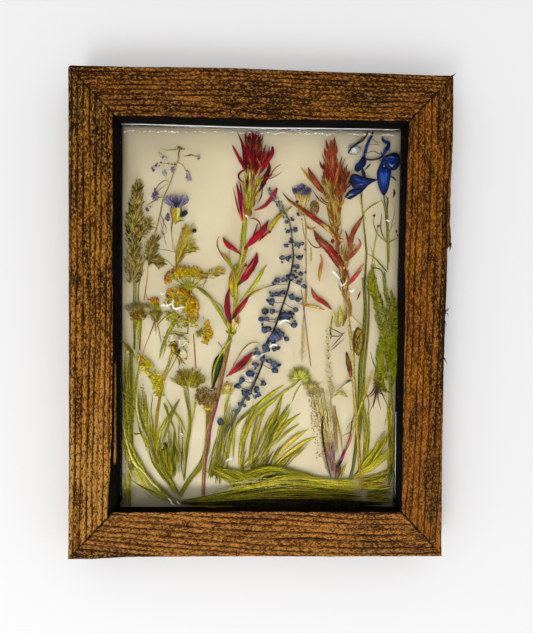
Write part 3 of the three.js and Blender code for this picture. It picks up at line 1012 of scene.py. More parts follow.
    def head(self, axis, halves, count, length, width, names, height=(1.5, 3.0), lean=35, thick=0.7,
             edge=None):
        """A flower or seed head: small blades along an axis, leaning out more towards its sides."""
        line = smooth_path(xy(axis), 1.0)
        half = spread(halves, len(line))[:, 0]
        way = np.gradient(line, axis=0)
        way /= np.linalg.norm(way, axis=1)[:, None]
        for _ in range(count):
            k = int(self.random.integers(0, len(line)))
            off = float(self.random.uniform(-1, 1))
            side = np.array([-way[k, 1], way[k, 0]])
            spot = line[k] + side * off * half[k] * 0.75
            turn = math.radians(lean) * off * 1.2 + self.random.normal() * 0.22
            c, s = math.cos(turn), math.sin(turn)
            aim = np.array([way[k, 0] * c - way[k, 1] * s, way[k, 0] * s + way[k, 1] * c])
            reach = length / UNIT_MM * self.random.uniform(0.7, 1.25)
            bend = np.array([-aim[1], aim[0]]) * reach * 0.12 * off
            route = [spot, spot + aim * reach * 0.5 + bend, spot + aim * reach]
            tone = self.picks(names, 2)
            z = self.random.uniform(*height)
            self.blade(route, (0.3 * width, width, width * 0.9, 0.1), tone, (z, z + 0.3), thick, sides=6,
                       step=reach / 5, edge=edge)

    def finish(self, name, gloss=0.5, pale=(0.30, 0.27, 0.11), veined=1.0, rich=1.24):
        """All the shells as one object, kept just clear of the ground layer."""
        verts = np.vstack(self.verts)
        verts[:, 2] = np.maximum(verts[:, 2], GROUND_TOP + 0.02 * MM)
        obj = make_object(name, verts, self.faces, dried_material(name, gloss, pale, veined, rich))
        store(obj, "tint", "FLOAT_COLOR", np.column_stack([np.vstack(self.tints), np.ones(len(verts))]))
        store(obj, "fibre", "FLOAT_VECTOR", np.vstack(self.fibres))
        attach(obj, "root")
        return obj


def dried_material(name, gloss, pale, veined, rich):
    """A dried plant's skin: its tint broken by veins along its fibres and small dark and pale flecks."""
    material, tree, shader = new_material(name + "_skin")
    tint = attribute(tree, "tint", "Color")
    fibre = attribute(tree, "fibre", "Vector")
    spot = node(tree, "ShaderNodeTexCoord").outputs["Object"]
    strength = bpy.context.scene.flower_plants.vein_strength * veined
    vein = grains(tree, fibre, 1.0, (0.4, 2.1, 1), detail=3, rough=0.6)
    fleck = grains(tree, spot, 950, detail=2)
    dark = mixed(tree, ramp(tree, vein, 0.5, 0.36, 0, 1.5 * strength), tint, (0.16, 0.13, 0.12, 1),
                 "MULTIPLY")
    bright = mixed(tree, ramp(tree, vein, 0.54, 0.68, 0, strength), dark, (*pale, 1), "SCREEN")
    flecked = mixed(tree, ramp(tree, fleck, 0.45, 0.34, 0, 0.75 * veined), bright, (0.2, 0.17, 0.15, 1),
                    "MULTIPLY")
    deep = node(tree, "ShaderNodeHueSaturation", {"Saturation": rich, "Color": flecked}).outputs["Color"]
    tree.links.new(deep, shader.inputs["Base Color"])
    shader.inputs["Roughness"].default_value = gloss
    shader.inputs["Specular IOR Level"].default_value = 0.12
    bump = node(tree, "ShaderNodeBump", {"Height": vein, "Strength": 0.5, "Distance": 0.0003})
    tree.links.new(bump.outputs[0], shader.inputs["Normal"])
    return material


# ---------------------------------------------------------------- left side of the frame
def strokes(sprig, rows, **common):
    """Blades from rows of (route, widths, tints, height) and an optional thickness."""
    for row in rows:
        extra = dict(common)
        if len(row) > 4:
            extra["thick"] = row[4]
        sprig.blade(row[0], row[1], row[2], row[3], **extra)


def florets(sprig, text, size, names, height=2.0, **extra):
    """Blobs at "x,y x,y ..." with sizes and turns varied a little."""
    for spot in xy(text):
        scale = sprig.random.uniform(0.85, 1.2)
        turn = sprig.random.uniform(0, 3.1)
        sprig.blob(spot, [s * scale for s in size], names, height + sprig.random.uniform(-0.3, 0.3), turn,
                   **extra)


def radiating(sprig, centre, count, first, last, length, width, names, height, thick=0.3, jitter=0.2,
              curve=0.1):
    """Narrow petals or hairs fanned about a point, between two directions in degrees."""
    for k in range(count):
        share = (k + 0.5) / count
        aim = math.radians(first + (last - first) * share + sprig.random.normal() * 4)
        reach = length / UNIT_MM * sprig.random.uniform(1 - jitter, 1 + jitter)
        ahead = np.array([math.cos(aim), -math.sin(aim)])
        side = np.array([ahead[1], -ahead[0]]) * reach * curve * (share - 0.5) * 2
        route = [np.array(centre), centre + ahead * reach * 0.55 + side * 0.4, centre + ahead * reach + side]
        z = height + sprig.random.uniform(-0.4, 0.4)
        sprig.blade(route, (width * 0.4, width, width * 0.8, 0.1), names, z, thick, sides=6, step=reach / 5)


GRASS_STEMS = [
    ("137,196 134.5,238 134,282", (0.7, 0.9), "olive khaki", 1.6),
    ("134,282 133.5,308", (0.9, 0.9), "leaf khaki", 1.4),
    ("136,282 135.6,309", (0.6, 0.6), "moss leaf", 1.2),
    ("138.6,284 139,309", (0.6, 0.6), "tan khaki", 1.2),
    ("147.4,257.6 144,262 141.6,272 138.6,288 138,300", (0.9, 0.7), "khaki leaf", 1.3),
    ("148.6,262 147,280 144,300", (1.0, 0.9), "straw tan", 0.8),
    ("145,290 147.6,300", (0.3, 0.4), "tan tan", 0.9),
    ("141.6,232 139,238 137,244", (1.0, 1.2), "khaki lime", 1.8),
    ("160,249.5 168,250.4 176,252.5", (0.3, 0.5, 0.4), "umber tan", 1.4),
    ("160,258 167,260.6 174.5,267.4", (0.9, 0.5), "lime khaki", 1.3),
]


def grow_grass_heads():
    """Brown grass heads at the left edge, on thin olive stems."""
    sprig = Sprig(101)
    strokes(sprig, GRASS_STEMS)
    tone = "khaki tan moss olive straw dark umber khaki tan moss"
    sprig.head("134.6,243 134,228 135,213 136.6,200 138,189", (6.4, 7.4, 5.8, 3.4, 0.8), 120, 4.4, 1.3,
               "dark root umber moss dark", (1.0, 2.4), 38)
    sprig.head("134.6,242 134,228 135,213 136.6,200 138,187", (6.2, 7.4, 5.8, 3.2, 0.8), 210, 4.6, 0.95, tone,
               (1.8, 3.8), 40, edge="root")
    sprig.head("134.4,240 134,226 135.4,211 137,198", (5.4, 6.6, 4.8, 2.4), 90, 3.8, 0.55,
               "straw tan straw pale_lime", (3.4, 4.0), 40)
    sprig.head("137,192 138.4,182", (1.8, 0.8), 26, 2.8, 0.6, "umber tan khaki", (2.0, 3.4), 20)
    sprig.head("140,235 144,229 149,223", (2.8, 3.6, 2), 70, 4.0, 0.75, tone, (2.0, 3.8), 45)
    sprig.head("133.4,283 133.4,268 133.5,258 134.5,247", (4.0, 7.6, 7.0, 2.6), 170, 4.6, 0.95, tone,
               (1.4, 3.4), 36, edge="root")
    sprig.head("133.4,282 133.4,268 134,250", (3.6, 6.6, 3.0), 60, 3.8, 0.55, "straw tan straw", (3.2, 3.8),
               38)
    sprig.head("148,261 150.5,250 155,239", (2.2, 5.6, 2.6), 120, 4.0, 0.75, tone, (1.4, 3.4), 32)
    sprig.head("148.6,261 155,261 161,262.4", (1.8, 4.2, 2), 80, 4.2, 0.75, tone, (1.4, 3.0), 45)
    sprig.blob((147.6, 258.2), (1.5, 1.5, 1.2), "dark moss", 2.6)
    return sprig.finish("grass_heads", rich=1.08)


PANICLE_STEMS = [
    ("179,158.4 178.6,153 180.6,148", (0.6, 0.8, 0.6), "umber ink", 2.4),
    ("179,158.4 177.6,162 172.5,175.6 168,188 163.4,198 160.3,213 157,226 153.8,238",
     (0.5, 0.7, 0.9, 1.1, 0.8), "tan khaki tan", 2.0),
    ("176.6,149.6 173,149.8 170.5,149.6 168,151 165,149.6 161,148", (0.5, 0.5, 0.3), "khaki khaki straw",
     2.0),
    ("184.3,156.4 188,155.4 191,154.6 196.5,156.6", (0.4, 0.9, 0.3), "tan khaki tan", 2.0),
    ("178,161.5 173,164.4 167,163.6 160.8,163", (0.5, 0.4), "khaki umber", 2.1),
    ("177.6,162 183,165.4 186,171", (0.5, 0.4), "khaki umber", 2.1),
    ("168.6,181.6 164.6,180.6 159,184.4 155,190", (0.3, 0.6, 0.5, 0.4), "umber plum umber", 2.0),
    ("167.6,184 162,187.6 157,192.6", (0.3, 0.5, 0.3), "tan tan umber", 1.8),
    ("163.6,197.6 159,197.4 154,201 147.6,204.6", (0.4, 0.9, 0.7, 0.4), "tan umber tan", 2.0),
    ("152.8,204 151,208", (0.3, 0.2), "straw tan", 1.6),
    ("159.6,213.4 163,219 163.6,224 162,230 164,236 166,245", (0.3, 0.9, 0.4, 0.7, 0.4, 0.3),
     "tan umber tan rust", 2.0),
    ("163,221 165.6,226.4 166.4,232", (0.3, 0.7, 0.2), "umber tan", 2.2),
    ("162,228 160.6,222", (0.3, 0.5, 0.2), "mauve umber", 2.2),
    ("171,232 173,250", (0.25, 0.25), "straw tan", 0.9),
]


def grow_mauve_panicle():
    """A loose panicle of small mauve bells."""
    sprig = Sprig(103)
    strokes(sprig, PANICLE_STEMS, thick=0.5)
    bells = [
        ("186.4,173 185.4,178 188,182.6 191.6,181.4 191,176.6 188.6,173", "lilac mauve purple"),
        ("164.6,169 162.4,172 163.4,176.4 166.6,177 168,172.6", "haze lilac mauve"),
        ("171,166.4 170.4,170.6 173.6,173.4 176,170.6 174,166.6", "mauve purple lilac"),
        ("196.6,154.4 196,158 198.4,161.6 201.4,158.6 200,154.4", "cream lilac purple"),
        ("162.6,156 163.4,159 166.6,159.6 168,157", "cream haze lilac"),
        ("158.4,151.6 159.6,156.6 162.6,157.4 161.6,153", "cream haze straw"),
        ("152.4,192 151,196.6 153.6,199 156.4,195 158,191.4", "mauve purple violet"),
        ("155,196 154.6,199.6 157.6,200 158.6,196.6", "lilac mauve purple"),
        ("161.6,229 161.6,236 164,237.6 164.8,232", "cream lilac umber"),
    ]
    for outline, names in bells:
        loop = xy(outline)
        middle = loop.mean(0)
        for spot in np.vstack([loop, loop * 0.5 + middle * 0.5]):
            lean = sprig.random.normal(0, 0.7, 2)
            tone = sprig.pick(names) + " " + names.split()[0]
            far = middle + (spot - middle) * sprig.random.uniform(0.8, 1.1) + lean
            sprig.blade([middle - lean * 0.6, (middle + spot) / 2 + lean[::-1] * 0.5, far],
                        (0.9, 1.9, 1.5, 0.3), tone, 2.6 + sprig.random.uniform(-0.3, 0.5), 0.5, "violet")
    florets(sprig, "153.6,170.4 155.6,165.6 154.8,189.4 152.8,194.6 157,194 146.6,208.6 147.8,210.4",
            (1.7, 2.1, 1.1), "purple mauve", 2.4, lumps=0.5)
    florets(sprig, "160.8,162.6 157.4,163.6 159.6,165.8", (1.2, 1.6, 0.9), "plum umber", 2.3, lumps=0.4)
    florets(sprig, "181.6,148.6 178.6,147.4", (1.9, 1.9, 1.4), "moss khaki", 2.6, lumps=0.4)
    florets(sprig, "177.4,148.6 174.6,149 184,149", (1.1, 1.4, 0.9), "khaki tan", 2.3)
    florets(sprig, "175,164.6 172,164 168.4,163.6 189.4,155.4 187,170.6", (1.1, 1.7, 0.9), "umber khaki", 2.3)
    for spot in ("155,192", "172,169", "152.6,168", "187.6,177", "163,157", "146.8,209"):
        radiating(sprig, xy(spot)[0], 6, 0, 330, 1.9, 0.5, "purple lilac", 2.8, 0.25)
    radiating(sprig, xy("150.6,206")[0], 4, 200, 300, 1.5, 0.4, "tan umber", 2.0, 0.2)
    return sprig.finish("mauve_panicle", rich=1.05)


def grow_brush_flower():
    """A fan of blue-violet petals on a stout khaki base."""
    sprig = Sprig(107)
    sprig.blade("176,205.6 175.8,213 174,222", (7.4, 8.8, 6.0, 1.6), "khaki tan gold khaki", 2.2, 1.4, "moss",
                line="tan", sides=10)
    strokes(sprig, [
        ("178,207 178.4,213 176,221", (2.4, 3.2, 0.8), "straw pale_lime lime", 2.8, 0.8),
        ("173,220 171.6,226 171.4,232", (1.6, 0.9, 0.8), "lime umber khaki", 2.0, 0.8),
        ("171.4,232 173,242 174.8,252", (0.5, 0.5), "straw tan", 1.2),
        ("174.6,222.6 178,219.6 181.6,217", (1.0, 2.4, 2.6, 0.5), "khaki lime gold", 2.4, 0.7),
        ("175,224.4 179,220.8 184,220.6", (0.4, 0.9, 1.3, 0.3), "umber khaki moss", 2.6, 0.5),
        ("180.6,216 183,214", (2.6, 3.0), "khaki lime", 2.4, 0.8),
    ])
    sprig.petal("179.6,214.6 181.4,217.2 184.4,216.6 188,213.2 186,210.4 182.4,211.4", "ink violet navy", 3.4,
                0.8, 0.4, 0.3)
    radiating(sprig, xy("183.6,213")[0], 7, 15, 80, 3.2, 0.6, "mauve lilac", 3.0, 0.3)
    sprig.petal("167.4,212.6 165,218.6 168.4,221.4 170,218.6 169,213.6", "purple mauve violet", 2.6, 0.5, 0.4,
                0.3)
    radiating(sprig, xy("167,217")[0], 4, 190, 280, 2.0, 0.7, "mauve lilac", 2.4, 0.3)
    for k in range(24):
        lean = -1 + k / 11.5
        foot = np.array([176.2 + lean * 4.2, 207.6 - abs(lean)])
        tall = sprig.random.uniform(8.6, 13.2) * (1 - 0.18 * lean ** 2)
        tip = foot + (lean * 8.4, -tall)
        route = [foot, foot + (lean * 4.6, -tall * 0.45), foot + (lean * 7.8, -tall * 0.8),
                 tip - (lean * 1.2, 0)]
        tone = ["violet mauve ash", "slate steel haze", "violet slate mauve"][k % 3]
        sprig.blade(route, (0.8, 1.7, 2.1, 0.7), tone, 2.8 + 0.3 * (k % 4), 0.5, "violet",
                    line="lilac" if k % 2 else "ash")
    radiating(sprig, xy("176.2,206.6")[0], 14, 40, 140, 7.4, 0.55, "ink violet mauve", 4.0, 0.3, 0.3, 0.2)
    return sprig.finish("brush_flower", rich=1.05)


TUFT_STEMS = [
    ("183.6,226.4 181.6,233 179,243 176.6,252 176,258 176.6,266.5", (0.3, 0.5, 0.8, 1.1), "tan khaki umber",
     1.8),
    ("182,236 180,246 178.6,253", (0.4, 0.5), "rust umber", 2.0),
    ("181,252.6 179.6,258 177.2,266", (0.5, 0.9, 0.9), "khaki umber tan", 2.0),
    ("180.6,232 178.8,243 178,250", (0.3, 0.4), "umber tan", 1.6),
]


def grow_soft_tufts():
    """Yellow-green tufts beside the brush flower."""
    sprig = Sprig(109)
    strokes(sprig, TUFT_STEMS)
    sprig.head("182,236 184.4,229", (1.4, 1.0), 16, 3.6, 0.5, "tan umber straw", (1.6, 2.6), 22)
    sprig.head("183.4,237 187,232 191,230", (2.0, 2.8, 2.2), 44, 4.2, 0.7, "straw khaki gold pale_lime",
               (1.8, 3.2), 30)
    sprig.head("182,252 187,250 192.6,248.6", (1.6, 3.0, 1.4), 46, 4.6, 0.75, "straw khaki umber straw lime",
               (1.6, 3.2), 32)
    sprig.head("182.4,246 186,243 190,241", (2.0, 3.4, 2.4), 30, 4.6, 0.5, "cream straw cream", (0.6, 1.4),
               36)
    for tip, bow in (("184,226", -1.2), ("191,232", 0.6), ("194,249", 3.0), ("187.6,228.4", 0),
                     ("189,242", 2.4)):
        for _ in range(5):
            far = xy(tip)[0] + sprig.random.normal(0, 1.3, 2)
            base = np.array([177, 263]) + sprig.random.normal(0, 0.8, 2)
            route = [base, (base + far) / 2 + (bow - 1.5, -bow - 1), far]
            tone = sprig.pick("gold straw khaki umber") + " straw"
            sprig.blade(route, (0.7, 0.8, 0.3), tone, sprig.random.uniform(1.4, 3.0), 0.4)
    sprig.blade("184,255 188,253.6 190.4,252.6", (0.5, 1.8, 0.5), "straw cream tan", 3.2, 0.6)
    sprig.blade("189.6,250.6 192.6,249 194.4,247.4", (0.6, 2.2, 0.8), "lime khaki umber", 3.4, 0.7)
    sprig.blob((194.4, 230.8), (3.4, 3.2, 2.4), "ink navy", 3.2, lumps=0.12, divisions=3)
    return sprig.finish("soft_tufts", rich=1.2)


def dome_florets(sprig, outline, count, size, names, height):
    """Small rounded florets crowded inside an outline, the outer ones first."""
    loop = xy(outline)
    low, high = loop.min(0), loop.max(0)
    made = 0
    while made < count:
        spot = sprig.random.uniform(low, high)
        if inside(spot, loop):
            tone = sprig.picks(names, 2)
            scale = sprig.random.uniform(0.65, 1.25)
            z = height + sprig.random.uniform(-0.5, 0.6)
            sprig.blob(spot, (size * scale, size * scale * 1.25, size * scale * 0.8), tone, z,
                       sprig.random.uniform(0, 3), lumps=0.55, rim=0.45)
            made += 1


def inside(spot, loop):
    """Whether a spot lies inside a closed outline."""
    x, y = spot
    hit = False
    for (x0, y0), (x1, y1) in zip(loop, np.roll(loop, -1, 0)):
        if (y0 > y) != (y1 > y) and x < (x1 - x0) * (y - y0) / (y1 - y0) + x0:
            hit = not hit
    return hit


UMBEL_RIBS = [
    ("188,290 180,283 172,277.6", (1.6, 0.9, 0.5), "moss lime khaki"),
    ("188.4,290 182,280 177,272", (1.5, 1.0, 0.5), "dark moss lime"),
    ("188.6,289 186,279 184.4,270", (1.5, 1.1, 0.6), "moss khaki straw"),
    ("189,289 190,280 190.4,270", (1.6, 1.2, 0.7), "dark lime straw"),
    ("189.6,289 194,280 198,272", (1.4, 1.0, 0.5), "moss khaki lime"),
    ("190,289.6 197,283 204,276", (1.4, 1.0, 0.5), "moss lime gold"),
    ("187,291 182,287 175,284", (1.2, 0.8, 0.4), "moss khaki tan"),
    ("192,289 201,285 208,281", (0.8, 0.6, 0.4), "umber tan straw"),
]
UMBEL_STEMS = [
    ("189.6,287 190.6,294 189,302", (2.4, 2.2, 1.4), "moss olive khaki", 1.6, 1.2),
    ("196.6,287.4 201,289 206,293 211,298", (1.0, 1.4, 1.4, 1.2), "moss leaf lime lime", 1.8, 0.8),
    ("175,322 170.6,328 167,335 163,345 160.6,353 159.4,358", (3.0, 2.4, 2.0, 1.8, 0.6),
     "lime khaki leaf lime", 1.6, 1.2),
    ("163.6,336 165.6,346 163,356", (0.8, 1.2, 0.3), "khaki lime", 1.4, 0.6),
    ("206,280 203,287 201,294", (0.5, 0.4), "tan straw", 1.0, 0.4),
    ("187,316 188,326 187.6,333", (0.8, 0.6), "khaki moss", 1.6, 0.6),
    ("193.4,334 194.6,350 195.9,368.7", (0.6, 0.8, 0.7), "tan salmon tan", 1.2, 0.5),
    ("172,331 180,332.6 188,333.4", (0.6, 1.4, 1.0, 0.8), "tan straw umber", 2.6, 0.8),
    ("173.4,332.6 178,334.8 184,335", (0.4, 1.0, 0.6), "ink umber", 2.2, 0.6),
    ("166,316 160,322 155,330", (1.2, 0.6, 0.3), "khaki tan", 1.4, 0.5),
]


def grow_yellow_umbels():
    """Two flat yellow umbels, one over the other, with ribs and stems under them."""
    sprig = Sprig(113)
    strokes(sprig, UMBEL_STEMS)
    for route, widths, names in UMBEL_RIBS:
        sprig.blade(route, widths, names, (2.4, 2.8), 0.8, "khaki", line="lime")
    top = (
        "163.6,279 167,274 175,268 184,266 194,266.6 203,270 209,275 206,279 199,280 191,277 "
        "183,277 175,281 168,283"
    )
    dome_florets(sprig, top, 150, 1.5, "gold yellow gold yellow khaki olive", 2.8)
    # Paler florets set higher over the middle of the top umbel: painted highlights.
    dome_florets(sprig, "176,270 182,268.4 196,269 199,274 191,276 181,275", 50, 1.3,
                 "straw yellow yellow gold", 3.6)
    florets(sprig, "164.6,279.6 165,276.4 167,273.4 169.6,271.4 172.6,269.4 176,268 180,266.9 184.4,266 "
            "189,266 193.4,266.6", (1.4, 1.8, 1.1), "orange rust", 3.6, lumps=0.5)
    florets(sprig, "166.4,279.6 167.4,276.4 169,280.6 165.6,282.6", (1.8, 2.0, 1.4), "orange gold", 3.4,
            lumps=0.5)
    # Ink and dark blobs among the florets: painted shade in the gaps between them.
    florets(sprig, "172.8,272.6 178,270.4 186.6,271 191.6,270.4 201.4,272.6 194.4,276 187,280.4 "
            "181.4,285 193,283", (0.8, 1.0, 0.7), "ink dark", 3.7)
    sprig.head("209,276 213,273.6 220,271", (1.4, 2.4, 2.2), 46, 4.0, 0.6, "straw khaki umber straw gold",
               (1.4, 3.0), 30)
    dome_florets(sprig, "166,290 174,287 184,288 192,293 197,300 199,309 198,319 194,323 187,318 182,310 "
                 "172,308 164,303", 260, 1.55, "yellow gold yellow gold orange olive", 3.0)
    # Paler florets set higher over the lower umbel are painted highlights, and the ink and dark blobs painted
    # shade in its gaps.
    dome_florets(sprig, "171,292 184,293 190,300 197,312 194,320 186,312 178,305 171,303", 90, 1.25,
                 "straw yellow yellow gold", 3.9)
    dome_florets(sprig, "166,290 184,289 197,300 198,319 187,318 164,303", 26, 0.9, "ink dark moss", 3.9)
    florets(sprig, "168.6,292 171,290.4 185,291.4 190,296.4 194.6,305 182,289.6", (2.2, 2.4, 1.4),
            "orange rust", 3.7, lumps=0.5)
    dome_florets(sprig, "167,308 178,311 186,319 190,325 182,330 172,326 166,319", 90, 1.35,
                 "khaki lime straw khaki olive pale_lime", 2.2)
    # Dark blobs among the green florets: painted shade in the gaps between them.
    florets(sprig, "169.6,317 174,312 182,316 186,322.6 190.6,310 176,321", (0.9, 1.1, 0.7), "dark ink", 3.2)
    dome_florets(sprig, "188,316 196,318 198,327 190,329", 26, 1.3, "straw khaki cream", 2.4)
    sprig.blob((193.2, 325), (3.6, 2.2, 1.2), "cream straw", 3.4, 0.3)
    dome_florets(sprig, "203,325 208,320 211.6,326 212.4,334 211,341 207,344.6 200,342 203,337 206,334", 76,
                 1.4, "yellow gold orange yellow gold", 3.2)
    dome_florets(sprig, "195,331 201,329 206,333 202,337 196,336", 30, 1.3, "lime leaf khaki", 2.8)
    florets(sprig, "209,333 210.4,337 206,338 208.6,330", (1.7, 1.9, 1.1), "orange rust", 3.7, lumps=0.5)
    florets(sprig, "207.6,322 204.6,325.6 207,327.6", (1.6, 1.9, 1.1), "straw yellow", 3.7, lumps=0.5)
    dome_florets(sprig, "148,299 153,297 158.6,298 158,302.6 151,303.4", 22, 1.7, "gold orange yellow rust",
                 3.0)
    dome_florets(sprig, "152,304 158.6,303 161,309 156,311", 16, 1.7, "lime khaki olive", 2.4)
    sprig.blob((203.4, 317.8), (1.0, 0.9, 0.6), "slate ink", 3.0)
    return sprig.finish("yellow_umbels", rich=1.4)


SEED_STEMS = [
    ("136.4,318 134.6,326 134.4,349", (3.4, 1.5, 1.3), "gold leaf moss", 1.8, 1.1),
    ("138.6,319 138.4,330 137.4,350", (2.2, 1.2, 0.9), "lime lime pale_lime", 1.4, 0.9),
    ("140.4,318.6 140.6,328 139.6,350", (2.0, 1.1, 0.9), "khaki khaki umber", 1.7, 0.9),
    ("154.6,322 150,334 145,347 142.4,356", (0.9, 0.5, 0.4), "umber tan tan", 1.6, 0.5),
    ("157.4,321 159,330 161,342", (0.7, 0.6, 0.5), "tan tan khaki", 1.6, 0.5),
    ("155,321 155.8,330 156.6,334", (0.6, 0.5, 0.2), "tan umber", 1.4, 0.5),
]


def fuzz_head(sprig, centre, first, last, count, length, names, height, spread_x=3.0):
    """A shuttlecock of fine hairs fanned from a base."""
    angles = sprig.random.uniform(first, last, count)
    lengths = length * sprig.random.uniform(0.55, 1.1, count)
    spots = np.array(centre) + np.stack([(sprig.random.uniform(-1, 1, count)) * spread_x,
                                         sprig.random.uniform(-1, 1, count)], 1)
    sprig.spikes(spots, angles, lengths, 0.28, names, height + sprig.random.uniform(-0.8, 0.8, count))


def grow_cream_seed_heads():
    """Two fuzzy seed heads on short green stems."""
    sprig = Sprig(127)
    strokes(sprig, SEED_STEMS)
    fuzz_head(sprig, (138.4, 312), 14, 168, 520, 9.2, "tan straw straw khaki cream umber", 2.6, 5.6)
    fuzz_head(sprig, (138.4, 316), -8, 190, 240, 6.6, "umber khaki olive tan", 3.2, 4.6)
    fuzz_head(sprig, (146, 310), 10, 120, 160, 5.4, "cream straw cream tan", 3.6, 2.4)
    sprig.head("138,320 138.4,314", (5.0, 6.4), 60, 3.4, 0.6, "umber rust olive tan gold", (2.4, 3.8), 60)
    fuzz_head(sprig, (156, 317), 40, 150, 260, 7.4, "tan khaki straw olive", 2.0, 3.6)
    sprig.head("156,322 156,314", (2.4, 4.6), 44, 3.4, 0.6, "umber tan khaki olive", (2.0, 3.2), 40)
    florets(sprig, "134,316 137,313.6 142,315.4 145,317 139.6,318.6", (1.3, 1.5, 1.0), "ink umber", 3.6)
    florets(sprig, "135.6,314 140.4,315.6 138,317", (1.2, 1.5, 1.0), "gold straw", 3.9)
    return sprig.finish("cream_seed_heads", rich=1.1)


EVERLASTING_STEMS = [
    ("175,351 171,356 168.6,364 165.6,372 162.8,380", (2.6, 1.9, 1.8, 2.0, 0.7), "gold khaki lime khaki", 1.8,
     1.2),
    ("176.6,357 172,366 167.4,374.4 163.6,383", (0.6, 0.7, 0.5), "umber tan khaki", 1.6, 0.5),
    ("171.6,344 173.6,350 177,353", (2.0, 3.0, 1.6), "khaki gold moss", 2.4, 1.4),
    ("177.4,357.6 179.4,362 178.8,367", (0.8, 1.4, 0.3), "khaki moss", 2.4, 0.5),
    ("180.6,358 183,362.4 185.6,364", (0.7, 1.4, 0.3), "tan moss", 2.4, 0.5),
    ("178.8,356 181,361 182.8,366", (0.6, 0.9, 0.2), "umber khaki", 2.6, 0.5),
]


def grow_white_everlastings():
    """Three papery white heads round a mossy middle."""
    sprig = Sprig(131)
    strokes(sprig, EVERLASTING_STEMS)
    heads = [
        ("167.6,336 169,333.8 173,333.6 175.4,336 175,340 171.6,341.6 168,340", "white cream pale_lime"),
        ("178,337.6 182,336.4 187,340 189.6,344 187,346 181,344.4 178,342", "white white cream"),
        ("180.4,351 182,348.6 186,350.4 187.6,355 185,359.4 181.6,358", "white cream straw"),
    ]
    for outline, names in heads:
        sprig.petal(outline, names, height=2.6, thick=1.0, dome=0.5, crease=0.5)
        middle = xy(outline).mean(0)
        for spot in xy(outline):
            for share in (0.75, 1.0):
                swing = sprig.random.normal(0, 0.8, 2)
                sprig.blade([middle * 0.9 + (176, 348) * np.array(0.1), (middle + spot) / 2 + swing,
                             middle + (spot - middle) * share],
                            (0.8, 2.0, 0.5),
                            "white cream " + ("khaki" if sprig.random.random() < 0.3 else "pale_lime"),
                            3.1 + sprig.random.uniform(0, 0.6), 0.4,
                            "khaki" if sprig.random.random() < 0.5 else "straw")
    for spot, first, last in (("171,341.6", 30, 150), ("180,345.6", -10, 100), ("179.6,354.6", -40, 60)):
        radiating(sprig, xy(spot)[0], 16, first, last, 4.2, 1.1, "cream white", 3.5, 0.35, 0.2)
    dome_florets(sprig, "168,341 176,342 180,347 182,352 177,357 172,352 169,346", 40, 1.6,
                 "khaki moss gold umber straw dark", 2.8)
    florets(sprig, "176,346.4 177.6,352 183.6,346.6 179,349", (1.0, 1.2, 0.8), "ink umber", 3.7)
    florets(sprig, "166,338 186,358.4", (1.4, 2.0, 1.0), "umber khaki", 3.0)
    return sprig.finish("white_everlastings", rich=1.05)


# ---------------------------------------------------------------- middle of the frame
def bundle(sprig, route, count, apart, width, names, height=2.0, thick=0.5, wander=0.5):
    """Thin strands lying side by side along a route, each with its own tint."""
    line = smooth_path(xy(route), 6)
    way = np.gradient(line, axis=0)
    way /= np.linalg.norm(way, axis=1)[:, None]
    side = np.stack([-way[:, 1], way[:, 0]], 1)
    for k in range(count):
        offset = apart * (k - (count - 1) / 2) / max(count - 1, 1)
        offset = offset + sprig.random.normal(0, 0.15, len(line)) * wander
        tone = sprig.picks(names, 3)
        size = width * sprig.random.uniform(0.7, 1.2)
        z = height + sprig.random.uniform(-0.35, 0.35)
        sprig.blade(line + side * offset[:, None], (size * 0.5, size, size, size * 0.5), tone, z, thick,
                    sides=6, step=2.2)


def between(sprig, first, last, count, width, names, height=(0.6, 3.6), shortest=0.35, thick=0.5, jitter=1.6,
            step=3.2, **extra):
    """Long blades scattered between two guide routes, each covering only a part of the way."""
    steps = 9
    low, high = (spread(smooth_path(xy(guide), 3), steps) for guide in (first, last))
    for _ in range(count):
        share = sprig.random.uniform(0, 1)
        drift = sprig.random.normal(0, 0.12)
        along = np.linspace(0, 1, steps)
        mix = np.clip(share + drift * (along - 0.5), -0.1, 1.1)[:, None]
        line = low * (1 - mix) + high * mix + sprig.random.normal(0, jitter * 0.3, (steps, 2))
        reach = sprig.random.uniform(shortest, 1)
        start = sprig.random.uniform(0, 1 - reach)
        cut = np.linspace(start, start + reach, 6) * (steps - 1)
        route = np.stack([np.interp(cut, np.arange(steps), line[:, k]) for k in (0, 1)], 1)
        tone = sprig.picks(names, 3)
        size = width * sprig.random.uniform(0.5, 1.3)
        z = sprig.random.uniform(*height)
        sprig.blade(route, (0.15, size, size, size * 0.7, 0.1), tone,
                    (z, z + sprig.random.uniform(-0.4, 0.4)), thick, sides=6, step=step, **extra)


